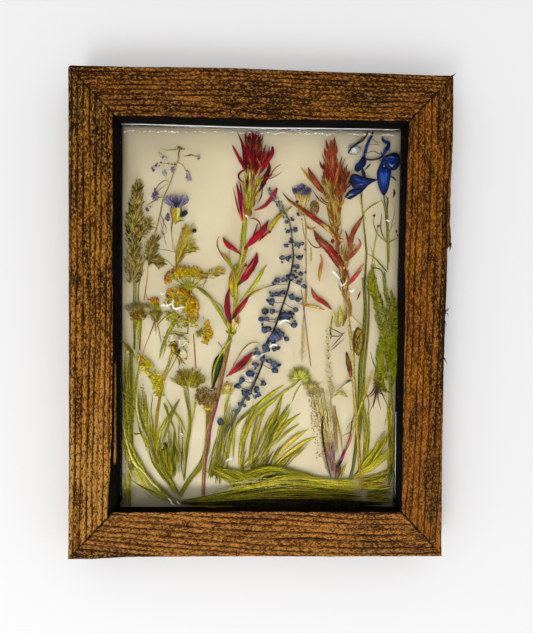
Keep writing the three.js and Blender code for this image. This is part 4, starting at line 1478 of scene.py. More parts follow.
CRIMSON_TOP = [
    ("237.4,132.8 240,138 243.4,146.5 247,161", (0.3, 1.6, 2.2, 1.6), "blood crimson blood", 3.0),
    ("244.7,134 246,142 248,152 250,169", (0.4, 2.4, 3.4, 2.0), "blood crimson blood crimson", 3.2),
    ("252,131.6 252.6,140 252.4,152 252,172", (0.5, 2.6, 3.6, 2.4), "blood maroon crimson crimson", 3.5),
    ("258.4,134.2 258.6,142 257.6,154 254,173", (0.4, 2.6, 3.6, 2.0), "maroon blood crimson", 3.2),
    ("265.8,144.6 264.6,149 261.6,158 255.6,174", (0.5, 2.2, 3.4, 1.6), "blood crimson red crimson", 3.6),
    ("242.6,146 243.6,154 244.6,162 247,173", (0.4, 1.8, 2.4, 1.4), "maroon blood umber", 2.6),
    ("271.4,153.2 268,159 263.2,166.3 259,171.6 255,176", (0.5, 3.0, 4.2, 3.2, 1.0),
     "blood crimson red crimson", 3.4),
    ("263.6,140.6 261,147 257.6,153", (0.2, 1.2, 0.5), "umber rust rust", 4.0),
    ("255.4,139 256.6,146 256,154", (0.2, 1.0, 0.4), "umber khaki umber", 4.1),
    ("249.6,139.6 250.8,148 251.4,156", (0.2, 0.9, 0.3), "khaki umber blood", 4.0),
    ("248.4,157 250.4,162 251.8,173", (0.4, 0.9, 0.5), "tan umber khaki", 4.0),
    ("256.8,158.6 259,162 261,166", (0.3, 0.8, 0.3), "straw tan", 4.0),
    ("260.6,147 261.8,154 259.8,161", (0.3, 1.0, 0.3), "rose red blood", 4.1),
    ("246.4,150 248.4,157 250,165", (0.3, 0.8, 0.3), "red rose red", 4.0),
    ("232.8,145.4 236.5,153.4 240.8,161.2 245.4,170.6", (0.4, 2.4, 2.6, 1.0), "crimson red crimson blood",
     2.8),
    ("231.8,144.8 235,153 239.4,161.6", (0.2, 0.7, 0.2), "rose straw rose", 3.3),
    ("247,169.6 243,170.6 239.6,173 238.4,177 241,180.6 245,183", (0.8, 1.3, 1.4, 1.3, 1.0),
     "crimson maroon red", 3.0),
    ("268.6,161 269.4,167 267.5,173.2 263,178 259.6,181.6", (0.4, 2.4, 3.0, 2.6, 1.0), "crimson blood maroon",
     2.6),
    ("272,174.6 267,177.4 262.6,182 258,187", (0.6, 3.2, 4.0, 1.4), "blood crimson maroon blood", 2.9),
    ("266,183 262,187 259,192", (0.8, 2.2, 0.8), "blood maroon", 2.6),
    ("269,177 272.4,172 276,167.4 280.8,164.4", (0.8, 0.7, 0.6, 0.3), "umber crimson maroon", 3.0),
    ("269.6,178.8 275,176.4 282.4,171.8", (0.7, 0.6, 0.2), "maroon umber crimson", 3.0),
    ("262.4,188.4 262,193 260.4,199 257.4,203", (0.5, 0.9, 0.8, 0.4), "maroon umber crimson", 2.6),
    ("277,188.2 275,192.4 270.6,199.4 265,205.6 259,208.8 254.6,210.4", (1.6, 3.4, 2.8, 2.6, 2.0, 0.8),
     "crimson rose crimson rose rust", 3.2),
    ("268.6,220 265,226.6 261,232.6 253,240.4 244.4,248.6", (0.5, 4.2, 5.4, 4.2, 0.8),
     "blood crimson red crimson", 3.2),
    ("292.8,205.8 288,209.4 281,214.4 276,219.6 271,227 266,234 259,241", (0.3, 1.8, 3.0, 3.0, 2.8, 1.6, 0.5),
     "rust straw gold yellow straw rose crimson", 2.8),
    ("249.6,218.8 254,218.6 258.4,221 260.6,226 260.6,231", (0.5, 0.9, 1.0, 0.8, 0.3), "maroon crimson red",
     3.8),
    ("257.4,223.6 255.6,230 252.4,238", (0.5, 1.2, 0.5), "blood maroon red", 3.9),
    ("222.8,237.2 225.4,241.6 228.6,245.4 233.4,248.4 241.4,255", (0.4, 3.6, 3.4, 2.2, 0.6),
     "crimson red crimson", 3.0),
    ("219.2,236.4 217.4,240 217.4,246 220,252 225.6,261", (0.4, 0.8, 0.7, 0.9, 0.4), "maroon plum rose red",
     2.8),
    ("222,252 225.6,257 229.4,263 233,270", (0.4, 2.2, 2.8, 1.0), "lime khaki lime leaf", 2.6),
    ("229.6,246.6 229.4,254 230.8,262", (0.4, 0.8, 0.3), "straw lime", 2.6),
    ("256.8,252.6 256,259 252.6,265.4 247.4,273.8 242.6,280 237,286", (0.6, 4.4, 5.4, 5.2, 3.6, 0.8),
     "crimson maroon crimson red maroon", 3.2),
    ("255,257 252,264 247,271 242,278", (0.2, 1.2, 1.2, 0.3), "rose pink rose", 3.9),
    ("267.4,264.6 264,268.6 258,279.4 251,289.4 239.6,301.4", (0.4, 2.2, 2.4, 2.0, 0.6),
     "khaki lime pale_lime lime", 2.8),
    ("232.8,269 231.4,276 231,284 232.8,297", (0.8, 3.2, 3.4, 1.2), "gold tan yellow khaki", 2.6),
    ("234,268 236,276 236.6,284", (1.0, 1.4, 0.6), "umber tan moss", 3.0),
    ("229.6,288.6 227.8,295 227.2,303 227.6,312 230.6,323.6", (0.8, 3.6, 4.4, 4.0, 1.2),
     "blood crimson red crimson maroon", 3.2),
    ("249.8,294.6 246,300 241.6,306.4 236.6,312.6 231.8,320", (0.6, 3.0, 3.6, 3.2, 1.0),
     "crimson red crimson maroon", 3.3),
    ("247,301 242,307.6 236,315.6", (0.2, 0.9, 0.3), "rose pink rose", 3.9),
    ("249,296 253,292.4 258.4,290.4 263.6,288", (1.4, 1.8, 1.4, 0.5), "moss khaki gold tan", 3.0),
    ("263,288.2 268.5,286.3 275,285 281.4,284.2", (0.5, 0.5, 0.6, 0.3), "umber crimson maroon", 2.8),
    ("195.5,287 200,290 204.5,293 211,299 218.7,310.7 227,324.4 231.6,333.4",
     (0.8, 1.3, 2.0, 2.2, 2.2, 2.4, 1.2), "khaki leaf lime lime khaki lime", 2.4),
    ("215.4,301.2 219.6,304 222.6,308 223.4,312.6", (0.4, 0.6, 0.6, 0.3), "tan umber umber", 2.8),
    ("218,342.4 220.4,345 222.6,349", (0.5, 0.7, 0.4), "umber tan", 2.6),
    ("259.4,343.2 255,342.4 250,343.4 245,347.2 240,353.6 233,366", (0.5, 0.8, 0.9, 0.9, 0.8, 0.5),
     "tan umber straw tan", 2.6),
    ("252.6,352 248.6,357 244,361.6 238.9,366.6 233,371.6 226,376.6", (0.8, 4.2, 5.2, 4.4, 2.8, 0.6),
     "maroon crimson blood crimson red maroon", 3.2),
    ("253.6,356.6 249,362.6 243.6,368.2 237,372", (0.3, 1.0, 1.2, 0.3), "orange gold orange rust", 3.4),
    ("243,358.6 237,364.4 231.6,369.6", (0.3, 1.0, 0.3), "pink rose pink", 3.8),
]
CRIMSON_CALYX = [
    ("236.4,184 238.6,194 240.6,206 243,220", (0.5, 1.8, 2.2, 1.0), "crimson red maroon rose", 3.4),
    ("239.6,181 241,190 243,200", (0.4, 1.5, 0.8), "blood crimson maroon", 3.5),
    ("248.6,174 247.6,186 247.4,196", (0.4, 1.3, 0.5), "crimson maroon straw", 4.0),
    ("254.4,176 253.4,186 251.8,196", (0.4, 1.2, 0.4), "red clay straw", 4.1),
    ("250.8,180 250.6,192 249.6,206", (0.4, 1.2, 0.5), "pale_lime straw lime", 4.0),
    ("245,173 244.6,184 247,197 248,208", (0.8, 2.4, 2.6, 1.4), "lime khaki pale_lime khaki", 3.0),
    ("250,172 249.4,184 249.4,198 249,210", (1.2, 2.6, 2.8, 1.6), "cream straw khaki lime", 3.4),
    ("255.4,174 254.6,184 253,196 250.6,209", (1.0, 2.4, 2.6, 1.4), "straw cream pale_lime khaki", 3.2),
    ("259.4,178 258.4,188 255.6,198", (0.6, 1.8, 0.8), "khaki lime umber", 2.8),
    ("247.4,176 246.8,188 248.4,203", (0.2, 0.7, 0.3), "moss dark moss", 3.9),
    ("252.6,176 252,190 251,206", (0.2, 0.6, 0.3), "umber moss dark", 4.1),
    ("256.8,181 255.6,190 253.4,200", (0.2, 0.5, 0.3), "maroon umber moss", 3.8),
    ("236.8,183.2 239,190.6 241.4,199 243.4,211 244.2,222.6", (0.3, 1.2, 1.6, 1.6, 0.8),
     "crimson maroon rose pink straw", 3.2),
    ("233.2,187.4 235.4,197 238,208.6 242.8,222.6", (0.2, 0.9, 1.3, 0.8), "maroon crimson rose straw", 3.0),
    ("246.6,209 246,216 244.6,224", (1.4, 2.0, 1.6), "khaki lime gold", 2.6),
    ("245,222 244,234 243.4,248", (1.0, 2.2, 1.4), "straw lime khaki", 2.6),
    ("250,240 246,250 243,262", (0.6, 2.4, 1.6), "straw rose lime khaki", 2.7),
    ("243.4,246 241.6,258 238.4,271", (0.6, 1.6, 1.0), "cream straw pale_lime", 3.2),
    ("239.4,270 236.6,281 236,298", (1.0, 2.0, 1.0), "khaki lime straw", 2.9),
    ("246.4,262 242.6,270 238.6,278", (0.4, 1.4, 0.4), "rose salmon tan", 3.4),
    ("232.6,317 233.6,324 232.4,332", (0.8, 3.4, 1.6), "cream straw khaki", 3.2),
    ("238.6,315.6 237.4,322 234.4,331", (0.6, 2.8, 1.4), "orange rust cream khaki", 3.0),
    ("227.6,321 229,328 231,336", (0.6, 2.0, 1.2), "straw lime moss", 3.0),
]


def grow_crimson_paintbrush():
    """The tall crimson paintbrush: its bracts from the top down, its heads and its stem."""
    sprig = Sprig(211)
    bundle(sprig, "203,495 204.3,466 206,450 209.6,427 216.8,399.5 222,374.5 227.2,351 231.4,331", 6, 3.6,
           0.85, "grape tan straw clay umber slate tan", 2.2, 0.9)
    bundle(sprig, "231.4,334 235.7,305.7 235.7,286.5 238.3,273.8 241.5,259.7 242.7,242 244,229 "
           "245.5,212.5 247.4,190", 5, 3.6, 1.0, "lime khaki pale_lime leaf straw", 2.2, 1.0)
    strokes(sprig, CRIMSON_CALYX, thick=0.8)
    strokes(sprig, CRIMSON_TOP, thick=0.7, ragged=0.12)
    sprig.head("251,170 252,154 253,140", (6, 9.0, 7.0), 95, 6.4, 1.1,
               "blood crimson blood crimson maroon crimson", (2.0, 4.0), 16, 0.6)
    sprig.head("252,178 257,168 264,156", (3.4, 4.6, 3.4), 40, 6.0, 0.9, "blood crimson maroon root",
               (2.0, 3.8), 16, 0.6)
    sprig.blade("272.6,146.6 272.4,152 269.4,158 264,167 260.6,173", (1.6, 3.4, 2.6, 2.8, 1.0),
                "blood crimson red crimson blood", 3.4, 0.8, "blood")
    sprig.blade("269,146 268.6,152 265.4,160", (0.4, 1.6, 0.8), "maroon crimson blood", 3.8, 0.5)
    sprig.head("251,208 252,192 255,172", (3.0, 6.4, 8.4), 64, 7.0, 1.15,
               "cream straw lime khaki crimson maroon straw", (2.8, 4.0), 12, edge="khaki")
    sprig.petal("247,208.6 251,209.4 252.4,213 250.6,217 246.8,216.6 245.4,212.4", "olive rust khaki", 3.6,
                1.2, 0.6)
    sprig.blob((269.7, 232), (2.2, 1.7, 1.2), "ink umber", 3.9)
    sprig.blob((245.8, 265.2), (2.0, 2.4, 1.2), "maroon rust", 3.6)
    sprig.blob((235.4, 267), (3.2, 3.6, 2.0), "lime moss", 3.0, lumps=0.4)
    sprig.blob((227, 381.8), (1.6, 1.8, 1.2), "orange rust", 3.2)
    sprig.blade("226,331 231.4,334.6 236,332", (1.0, 2.2, 0.8), "khaki lime moss", 3.2, 1.2)
    leaf = (
        "223.4,353.4 219.4,354.4 215.4,358 213.2,363.4 211.6,373 211.6,382 212.6,389 215.6,383 "
        "219.6,372.6 222.6,363"
    )
    sprig.petal(leaf, "green deep_green deep_green", 2.4, 0.5, 0.5, 0.25)
    sprig.blade("230.6,339.2 224.6,348.6 219.5,356.6 215.6,364.6 213.4,374 212.2,386",
                (2.2, 1.8, 1.5, 1.3, 1.0, 0.4), "lime pale_lime lime straw lime", 3.6, 0.8)
    calyx = "224,386.4 226.6,384 230,384.6 231.4,388 229.6,391.4 226,391.4"
    sprig.petal(calyx, "cream straw khaki", 2.8, 0.8, 0.5, 0.6)
    radiating(sprig, xy("226,393")[0], 26, -20, 200, 4.6, 0.8, "lime pale_lime straw", 2.6, 0.4, 0.4)
    radiating(sprig, xy("226.6,394")[0], 10, 40, 140, 7.6, 0.7, "pale_lime straw khaki", 3.2, 0.4)
    between(sprig, "206,474 213,448 220,424 226,404", "229,474 232,444 238,420 242,402", 38, 0.8,
            "leaf khaki lime moss olive straw lime", (0.6, 3.2), 0.3)
    between(sprig, "205,484 208,470 213,455", "226,484 226,470 228,455", 26, 0.9,
            "moss dark khaki lime olive", (1.0, 3.0), 0.5)
    return sprig.finish("crimson_paintbrush", 0.42, (0.16, 0.04, 0.03), rich=1.16)


LUPINE_STEM = (
    "286,213 288.2,218.9 290.8,228.4 292.5,245.6 293.4,256 291.5,270 288.6,286.3 282.9,304.5 "
    "276.2,323.6 273.3,331.3 266,344 264,354 262,364 257,377 251.3,388.6 243.6,399.5 240,408 "
    "233,420 225.7,432.5"
)
LUPINE_FLORETS = (
    "286.5,222,2.4 292.5,219.7,2 288.2,231.4,2.4 295.1,230,2.6 290.8,241.3,2.4 286,245.6,2.6 "
    "298.5,244.7,2.6 302.5,243.6,2.2 281.9,257.6,2.8 287.7,258.6,2.6 300,257.6,2.8 297.4,266.5,3 "
    "301,273.5,2.6 291.5,276.8,4 299.1,282,2.8 304.4,286.3,2.8 278,279.6,2.8 283.4,280,2.8 "
    "274.3,283,2.6 272.4,295,3 277,294,2.8 283.4,291.6,2.6 292,297.3,3.5 297.7,299.7,3.2 "
    "295.8,309.3,3 271.4,301.6,3.8 265.2,311.2,3.6 272.4,311.2,3 285.3,317,5.6 289.6,315,3.4 "
    "261.4,319.3,3.2 267.1,318.8,2.8 293.9,325.5,3.4 264.7,330.3,4 269,329,3 276.2,337,5.8 "
    "272,339,4.2 281.4,334,3.5 286.7,338.9,3.2 266.1,348.5,4.6 257,353.7,4 262.8,359,3.2 "
    "274.3,364.2,4 269.6,361,3 275.2,370.5,3.6 250.4,373.3,4.4 242.2,380,3.6 238.4,386.2,3.4 "
    "244.6,393.4,3.4 257,388.6,3 258.7,394.4,2.8 263.6,383,3 256,365,3 240,404,2.2 248,398.6,2.4 "
    "236,411,2 244.6,405.6,2 250.6,391.6,2.4 255,397,2.2 230.6,425,1.8"
)


def grow_blue_lupine():
    """A long spike of small blue florets on a thin navy stem."""
    sprig = Sprig(223)
    bundle(sprig, LUPINE_STEM, 2, 0.8, 0.8, "navy ink slate umber", 2.4, 0.8)
    bundle(sprig, "258,374 251.3,388.6 243.6,399.5 240,408 233,420 225.7,432.5 216,445", 3, 2.0, 0.85,
           "slate khaki steel moss olive", 2.9, 0.7)
    sprig.head("285,214 281,207 275.6,198.6 270.4,192.4 268.6,190", (1.8, 2.6, 2.6, 2.2, 0.8), 70, 2.2, 0.6,
               "slate ash khaki steel moss", (2.0, 3.6), 45)
    florets(sprig, "271,194.4 275.4,196.6 273.6,199.8 278.6,201.6 277,204.6 282.6,207.6 280.6,210.6 "
            "285,213.6 283.4,217", (1.5, 1.9, 1.2), "steel slate", 3.2)
    stem = smooth_path(xy(LUPINE_STEM), 2)
    for x, y, r in xy(LUPINE_FLORETS):
        near = stem[np.argmin(np.hypot(stem[:, 0] - x, stem[:, 1] - y + 3))]
        sprig.blade([near, (near + (x, y)) / 2 + (0, 0.8), (x, y)], (0.5, 0.55, 0.5), "umber plum slate", 2.4,
                    0.4)
        aim = math.atan2(-(y - near[1]), x - near[0]) + sprig.random.normal() * 0.3
        rim = sprig.pick("navy slate slate ink")
        size = r * 1.2
        z = 2.9 + sprig.random.uniform(-0.4, 0.3)
        sprig.blob((x, y), (size * 1.12, size * 0.95, 1.5), "steel " + rim, z, aim, 0.3, 3, 0.45)
        turn = aim + sprig.random.uniform(-0.6, 0.6)
        spot = (x + math.cos(turn) * r * 0.25, y - math.sin(turn) * r * 0.25)
        middle = sprig.pick("steel ash slate slate")
        sprig.blob(spot, (size * 0.62, size * 0.5, 0.9), middle + " steel", z + 0.65, turn, 0.3, 2, 0.5)
        for _ in range(2):
            beside = (x + sprig.random.normal() * r * 0.7, y + sprig.random.normal() * r * 0.7)
            sprig.blob(beside, (r * 0.7, r * 0.55, 1.0), rim + " slate", z - 0.3, sprig.random.uniform(0, 3),
                       0.4, 2, 0.4)
        for _ in range(4):
            swing = sprig.random.uniform(0, math.tau)
            reach = np.array([math.cos(swing), math.sin(swing)]) * r * 0.9
            cross = np.array([-reach[1], reach[0]]) * 0.35
            sprig.blade([(x, y) - reach * 0.5 + cross, (x, y) + cross * 1.6, (x, y) + reach * 0.9],
                        (0.15, 0.5, 0.15), "ice " + rim if sprig.random.random() < 0.4 else rim + " navy",
                        z + 0.8, 0.3, step=0.8)
    sprig.blob((220.4, 421.8), (5.0, 5.4, 2.6), "slate navy", 2.4, lumps=0.25, divisions=3)
    # A small pale spot on the round bud: a painted highlight.
    sprig.blob((219.6, 420.8), (1.8, 1.8, 0.8), "steel slate", 3.6)
    return sprig.finish("blue_lupine", 0.5, (0.16, 0.18, 0.22), rich=1.0)


def grow_small_blue_heads():
    """Purple-blue heads over pale bracts, a brown oval head and thin stems."""
    sprig = Sprig(227)
    for spot in ("294.7,190.5", "299,188.7", "302.4,186.8", "308.6,190.4", "304.6,192.4"):
        radiating(sprig, xy(spot)[0], 12, 0, 340, 2.9, 1.1, "purple steel slate mauve navy", 3.0, 0.4)
    florets(sprig, "295,191 300,189.4 303.4,188 307.6,191.4", (2.6, 2.4, 1.2), "purple slate", 3.4, lumps=0.5)
    for k in range(15):
        tip = (294.4 + k * 1.15, 194.6 - abs(k - 7) * 0.2)
        foot = (301.6 + k * 0.16, 213 + sprig.random.normal() * 2.4)
        tone = sprig.pick("straw cream tan khaki straw umber")
        sprig.blade([foot, (298.6 + k * 0.6, 203), tip], (0.5, 1.7, 0.8), "umber " + tone + " tan",
                    2.2 + 0.03 * k, 0.5, "umber")
    strokes(sprig, [
        ("302.4,202 303.4,210 305,219 306,232 305.8,241 306,270 305,300 303.6,322", (0.6, 0.7, 0.6),
         "tan salmon tan", 0.9),
        ("297,196 297,201 298.4,208 298,214", (0.4, 0.5, 0.3), "umber tan", 2.2),
        ("301,290 302.6,298 303.4,307 305.4,322 307.4,340 310.8,366", (0.4, 0.7, 0.9, 0.9, 0.6),
         "umber mauve tan plum", 1.6),
        ("307,282 306.4,292 305.6,306", (0.5, 1.6, 0.9), "cream tan straw", 1.8),
        ("310.8,247 311.2,253 311,262", (0.4, 1.4, 0.5), "straw pale_lime straw", 1.2),
        ("302,222 303.6,232 305.6,240", (0.4, 0.8, 0.4), "straw tan", 1.0),
    ])
    oval = "314.8,200 310.8,202.4 309.8,208 312,213.4 316,214.4 319,210.4 318.8,204.4"
    sprig.petal(oval, "umber bark tan", 2.4, 0.8, 0.5, 0.5)
    for k in range(16):
        swing = k / 16 * math.tau
        spot = np.array([314.4 + 3.8 * math.cos(swing), 207.4 - 6.2 * math.sin(swing)])
        ahead = np.array([-math.sin(swing) * 2.6, -math.cos(swing) * 4.0])
        sprig.blade([spot - ahead * 0.6, spot, spot + ahead * 0.7], (0.3, 1.4, 0.4),
                    ("bark tan umber straw plum".split())[k % 5] + " umber", 3.4, 0.5, "root")
    radiating(sprig, xy("314.4,208")[0], 12, 0, 345, 3.0, 0.9, "tan bark straw", 3.9, 0.4)
    florets(sprig, "297.3,201.7 298,214.2", (1.9, 2.4, 1.4), "ink plum", 3.0, lumps=0.4)
    florets(sprig, "301.6,219.4 304.6,249.6", (1.4, 1.8, 1.0), "umber tan", 2.2, lumps=0.4)
    return sprig.finish("small_blue_heads", rich=1.05)


BRICK_BRACTS = [
    ("330,140.6 331.4,147 332,156 331,170", (0.4, 2.4, 3.2, 2.2), "clay brick clay brick", 3.4),
    ("334.4,143 334.2,150 333.4,160 332,174", (0.3, 1.8, 2.4, 1.6), "brick clay salmon brick", 3.6),
    ("324.8,148.4 326.4,154 328.6,162 330,174", (0.3, 1.8, 2.4, 1.4), "brick clay brick", 3.2),
    ("321.9,153.6 324.6,160 328,170 330,184", (0.3, 1.3, 1.8, 1.2), "crimson brick red clay", 3.4),
    ("342,156.4 340.4,162 337.4,171 334,182", (0.3, 1.7, 2.3, 1.2), "brick clay salmon brick", 3.5),
    ("345.4,158 342.4,165 338.6,176 335,186", (0.3, 1.2, 1.8, 0.8), "rust brick clay", 3.2),
    ("308,167.2 310.6,174 316.6,183.8 321,189.6 326.4,196", (0.4, 3.4, 4.4, 3.6, 1.0),
     "brick brick clay brick maroon", 3.2),
    ("300.2,166.8 304.6,172 309.4,178.6 314,185.4", (0.3, 1.6, 1.8, 0.5), "straw gold tan khaki", 2.8),
    ("347,170.6 347.8,177 345.6,185 341,195", (0.4, 2.4, 3.0, 1.0), "clay salmon brick rust", 3.0),
    ("312.8,190.6 316,195.6 320,200.4 326.4,205", (0.4, 1.0, 1.1, 0.5), "maroon umber brick", 2.8),
    ("322,176 325,188 330,202 334.6,222", (0.8, 2.6, 3.0, 1.6), "brick tan rust straw", 3.0),
    ("329,168 330.6,184 333,200 336,222", (1.0, 3.2, 3.0, 1.6), "brick rust tan straw rust", 3.3),
    ("337.6,172 337,188 336.6,204 337,226", (0.8, 2.8, 3.0, 1.6), "clay brick tan gold", 3.1),
    ("343,182 341,196 339,210 338,230", (0.5, 2.6, 2.8, 1.4), "clay brick rust brick", 2.8),
    ("282.4,192.6 286,197 290.6,201.4 296,205.4 303,209.6 312,216.6 324,225.4 334.6,235",
     (0.4, 1.6, 2.4, 3.0, 3.6, 3.8, 3.4, 1.4), "moss umber rust brick crimson brick straw clay", 3.0),
    ("285.6,199 293,204.6 301,210.6 309.6,218.6", (0.2, 0.9, 1.0, 0.2), "straw gold straw", 3.6),
    ("328,225 331,229.6 336,236.6", (0.5, 2.0, 0.8), "crimson brick clay", 3.4),
    ("313.6,229.4 316.6,236 321.6,242.4 327.6,247.6 332.4,253.6 337.4,260 345.6,275.6",
     (0.4, 4.0, 6.0, 6.0, 6.2, 5.2, 1.0), "brick brick clay red brick clay brick", 3.2),
    ("330.6,252.6 333.4,256 336.6,261", (0.5, 2.2, 0.5), "pink rose pink", 4.0),
    ("318.6,240 325,246.4 330,252", (0.3, 1.0, 0.3), "salmon pink clay", 3.9),
    ("307.4,238.4 309.6,242.4 312.6,245.8 318.6,247.6 327.6,242", (0.3, 0.8, 0.9, 0.8, 0.4),
     "umber brick umber", 3.0),
    ("305.6,222 307,226.4 311,228.6 315.6,227", (0.4, 1.4, 1.6, 0.5), "straw gold tan umber", 3.0),
    ("320.2,254.6 322,259 321,266 319.8,274 319.6,281", (0.5, 1.4, 2.4, 2.2, 0.8),
     "rust orange clay gold orange", 3.0),
    ("363.4,215.2 359,222.6 355,229 352,236 350.4,245 349.6,255", (0.4, 2.6, 3.6, 3.6, 3.0, 1.2),
     "brick clay brick clay salmon", 3.2),
    ("345.2,230.6 347,236 348.6,242 349.4,250", (0.3, 1.7, 2.0, 0.7), "rust brick clay", 3.2),
    ("363,215.8 366,210.6 370,207 375.7,203.4 381.4,200.6", (0.4, 0.9, 1.1, 1.0, 0.4),
     "straw lime khaki gold lime", 2.8),
    ("358,238.6 360.4,242 359.4,246.6 355,252 350,257 345,261.6", (0.6, 1.6, 2.4, 2.8, 2.4, 0.8),
     "clay salmon brick clay", 3.4),
    ("363.4,263.6 360,270 356,275.4 352,280.4 347.6,285.4", (0.4, 2.4, 3.0, 2.6, 0.8),
     "pink salmon rose clay", 3.1),
    ("311.4,287.4 312.6,292.4 316,297.4 321,300.6 326,304 331.4,309.4", (0.4, 2.4, 3.4, 3.4, 3.0, 1.0),
     "brick clay red brick clay", 3.2),
    ("297.8,303.6 305,304.8 313,306.4 324.4,309.6", (0.4, 1.6, 1.8, 0.8), "gold orange straw orange", 2.8),
    ("360.2,291.2 359,295 357,299.6", (0.4, 1.5, 0.4), "brick red brick", 3.0),
    ("333,309 334,317 337,326.6", (0.6, 2.6, 1.2), "straw pale_lime khaki", 2.9),
    ("340,306 340.4,315 339.6,327", (0.8, 3.8, 1.4), "straw lime straw khaki", 3.2),
    ("346.4,307 345.6,316 342.6,326", (0.5, 2.2, 1.0), "gold umber khaki", 2.9),
    ("352.6,315.4 355.6,319.4 361.6,325", (0.4, 0.9, 0.4), "tan straw tan", 2.4),
    ("346.4,352.4 347.6,359 349.4,368 350.8,377", (1.4, 3.4, 3.6, 1.6), "bark umber bark rust", 3.0),
    ("332.6,316 331.4,324 330,335", (0.8, 1.4, 0.8), "leaf khaki moss", 2.4),
]


def grow_brick_paintbrush():
    """The brick-red paintbrush, its stem and the pod and dark twigs beside it."""
    sprig = Sprig(229)
    bundle(sprig, "337,226 337.6,247 339.5,259 346,273 346.5,293 350,306 350.4,316", 4, 2.8, 0.95,
           "clay straw khaki brick tan salmon", 2.4, 0.8)
    strokes(sprig, BRICK_BRACTS, thick=0.7, ragged=0.12)
    sprig.head("332,186 331.6,172 331,158 331.4,150", (8.4, 7.4, 4.6, 2.6), 46, 8.4, 1.9,
               "brick clay maroon brick rust crimson", (2.4, 3.8), 14, 0.6, edge="maroon")
    sprig.head("336,228 335,212 333.4,198 332,184", (3.4, 6.0, 8.4, 8.6), 110, 7.4, 1.1,
               "straw tan gold umber rust brick straw khaki maroon", (2.2, 4.0), 12, 0.6, edge="bark")
    sprig.head("343,196 345,184 346,174", (2.4, 3.4, 2.0), 26, 6.0, 1.3, "maroon brick bark blood rust",
               (2.4, 3.8), 12, edge="blood")
    sprig.head("337.4,246 336.6,238 336,230", (2.0, 4.4, 4.4), 34, 5.0, 1.0, "gold brick umber straw rust",
               (2.2, 3.8), 16)
    sprig.head("347,300 345,284 342,268", (2.4, 3.8, 3.0), 40, 6.0, 1.0, "clay straw brick tan maroon khaki",
               (1.6, 3.4), 14, edge="bark")
    between(sprig, "341,244 341,256 343,272", "357,240 352,252 347,270", 18, 1.0,
            "straw tan khaki brick straw", (1.6, 3.2), 0.5)
    sprig.blob((332.5, 241), (3.0, 3.4, 1.8), "bark brick", 3.8, lumps=0.5)
    florets(sprig, "341.6,240 339,254 346,262 344,268", (1.8, 2.4, 1.2), "straw clay", 3.6, lumps=0.5)
    for x, y, turn in ((346.4, 281, 0.4), (348.6, 295, -0.3), (344, 288, 0.2)):
        sprig.blade([(x - 2, y + 6), (x, y), (x + 3 * turn, y - 7)], (0.7, 2.0, 0.4), "salmon straw clay",
                    3.0, 0.6)
    bundle(sprig, "343.3,293 346.5,309 349.7,330 352.9,356.5 353,370 355.7,410 358.4,446 361,491", 4, 2.6,
           0.8, "straw cream tan straw khaki", 1.3, 0.7)
    pod = "358,326.6 354.6,330 353.2,340 354.4,350 358,356 361.6,351.6 363.6,341 362,331"
    sprig.petal(pod, "straw khaki tan", 2.2, 0.8, 0.5, 0.4)
    bundle(sprig, "361.6,330 358.4,328 355,333 353.6,342 354.4,352", 2, 1.2, 0.9, "bark umber bark", 3.2, 0.6)
    bundle(sprig, "361.8,332 363,340 361.4,349 358.4,355.4", 2, 1.0, 0.9, "umber bark tan", 3.2, 0.6)
    for route in ("356.4,335 357.4,344 356,352", "359.8,334 359,343 358,350", "355.2,346 358,338 361,333"):
        sprig.blade(route, (0.4, 0.9, 0.4), "root bark umber", 3.4, 0.5)
    for route in ("329.4,327.6 334,329.6 342,333.6 345,332", "331.6,347 336,342 342,335.4 344.6,332.6",
                  "330,338 333,336 338,336.4 343,333.4", "331,350.6 336.4,345.6 343.6,339",
                  "329.4,330 331.4,335 330.4,339"):
        sprig.blade(route, (0.35, 0.7, 0.6, 0.35), "bark root umber", 3.0, 0.5)
    return sprig.finish("brick_paintbrush", 0.5, (0.28, 0.16, 0.07), rich=1.08)


# ---------------------------------------------------------------- right side of the frame
LARKSPUR_PETALS = [
    ("348,148 350,145.4 355.4,145.6 360,147.4 361,151 358,154.2 352,154.8 348.6,152.4", "white haze ash",
     2.4),
    ("362.6,155.6 366.8,158.6 366.2,163 363.6,167.6 358,172 354.6,170 355,165.4 359,161.4", "blue navy navy",
     3.2),
    ("380.2,163.6 382.6,158.4 387,155 394.6,152.4 399.4,156 399.8,164 396,169.6 389.4,170 383,168",
     "blue navy navy", 3.2),
    ("379.8,164.4 377,172 377.4,181 379.4,189 383.8,195.6 388,189.4 390.2,179 390.8,168.6 385,165",
     "sky blue navy", 3.4),
    ("349.6,179 351.4,175 355,173.8 361.5,176 370.7,178.4 377.6,179.8 370.7,183.6 "
     "363.6,188.4 355.4,188.8 350.4,184.4", "blue navy navy", 3.3),
    ("344.4,197 347.4,192.6 351,189.6 359,188 364,186.8 368.4,184.8 364,190 359.5,193.8 "
     "354.6,197 349.6,199.4", "blue navy navy", 2.9),
]
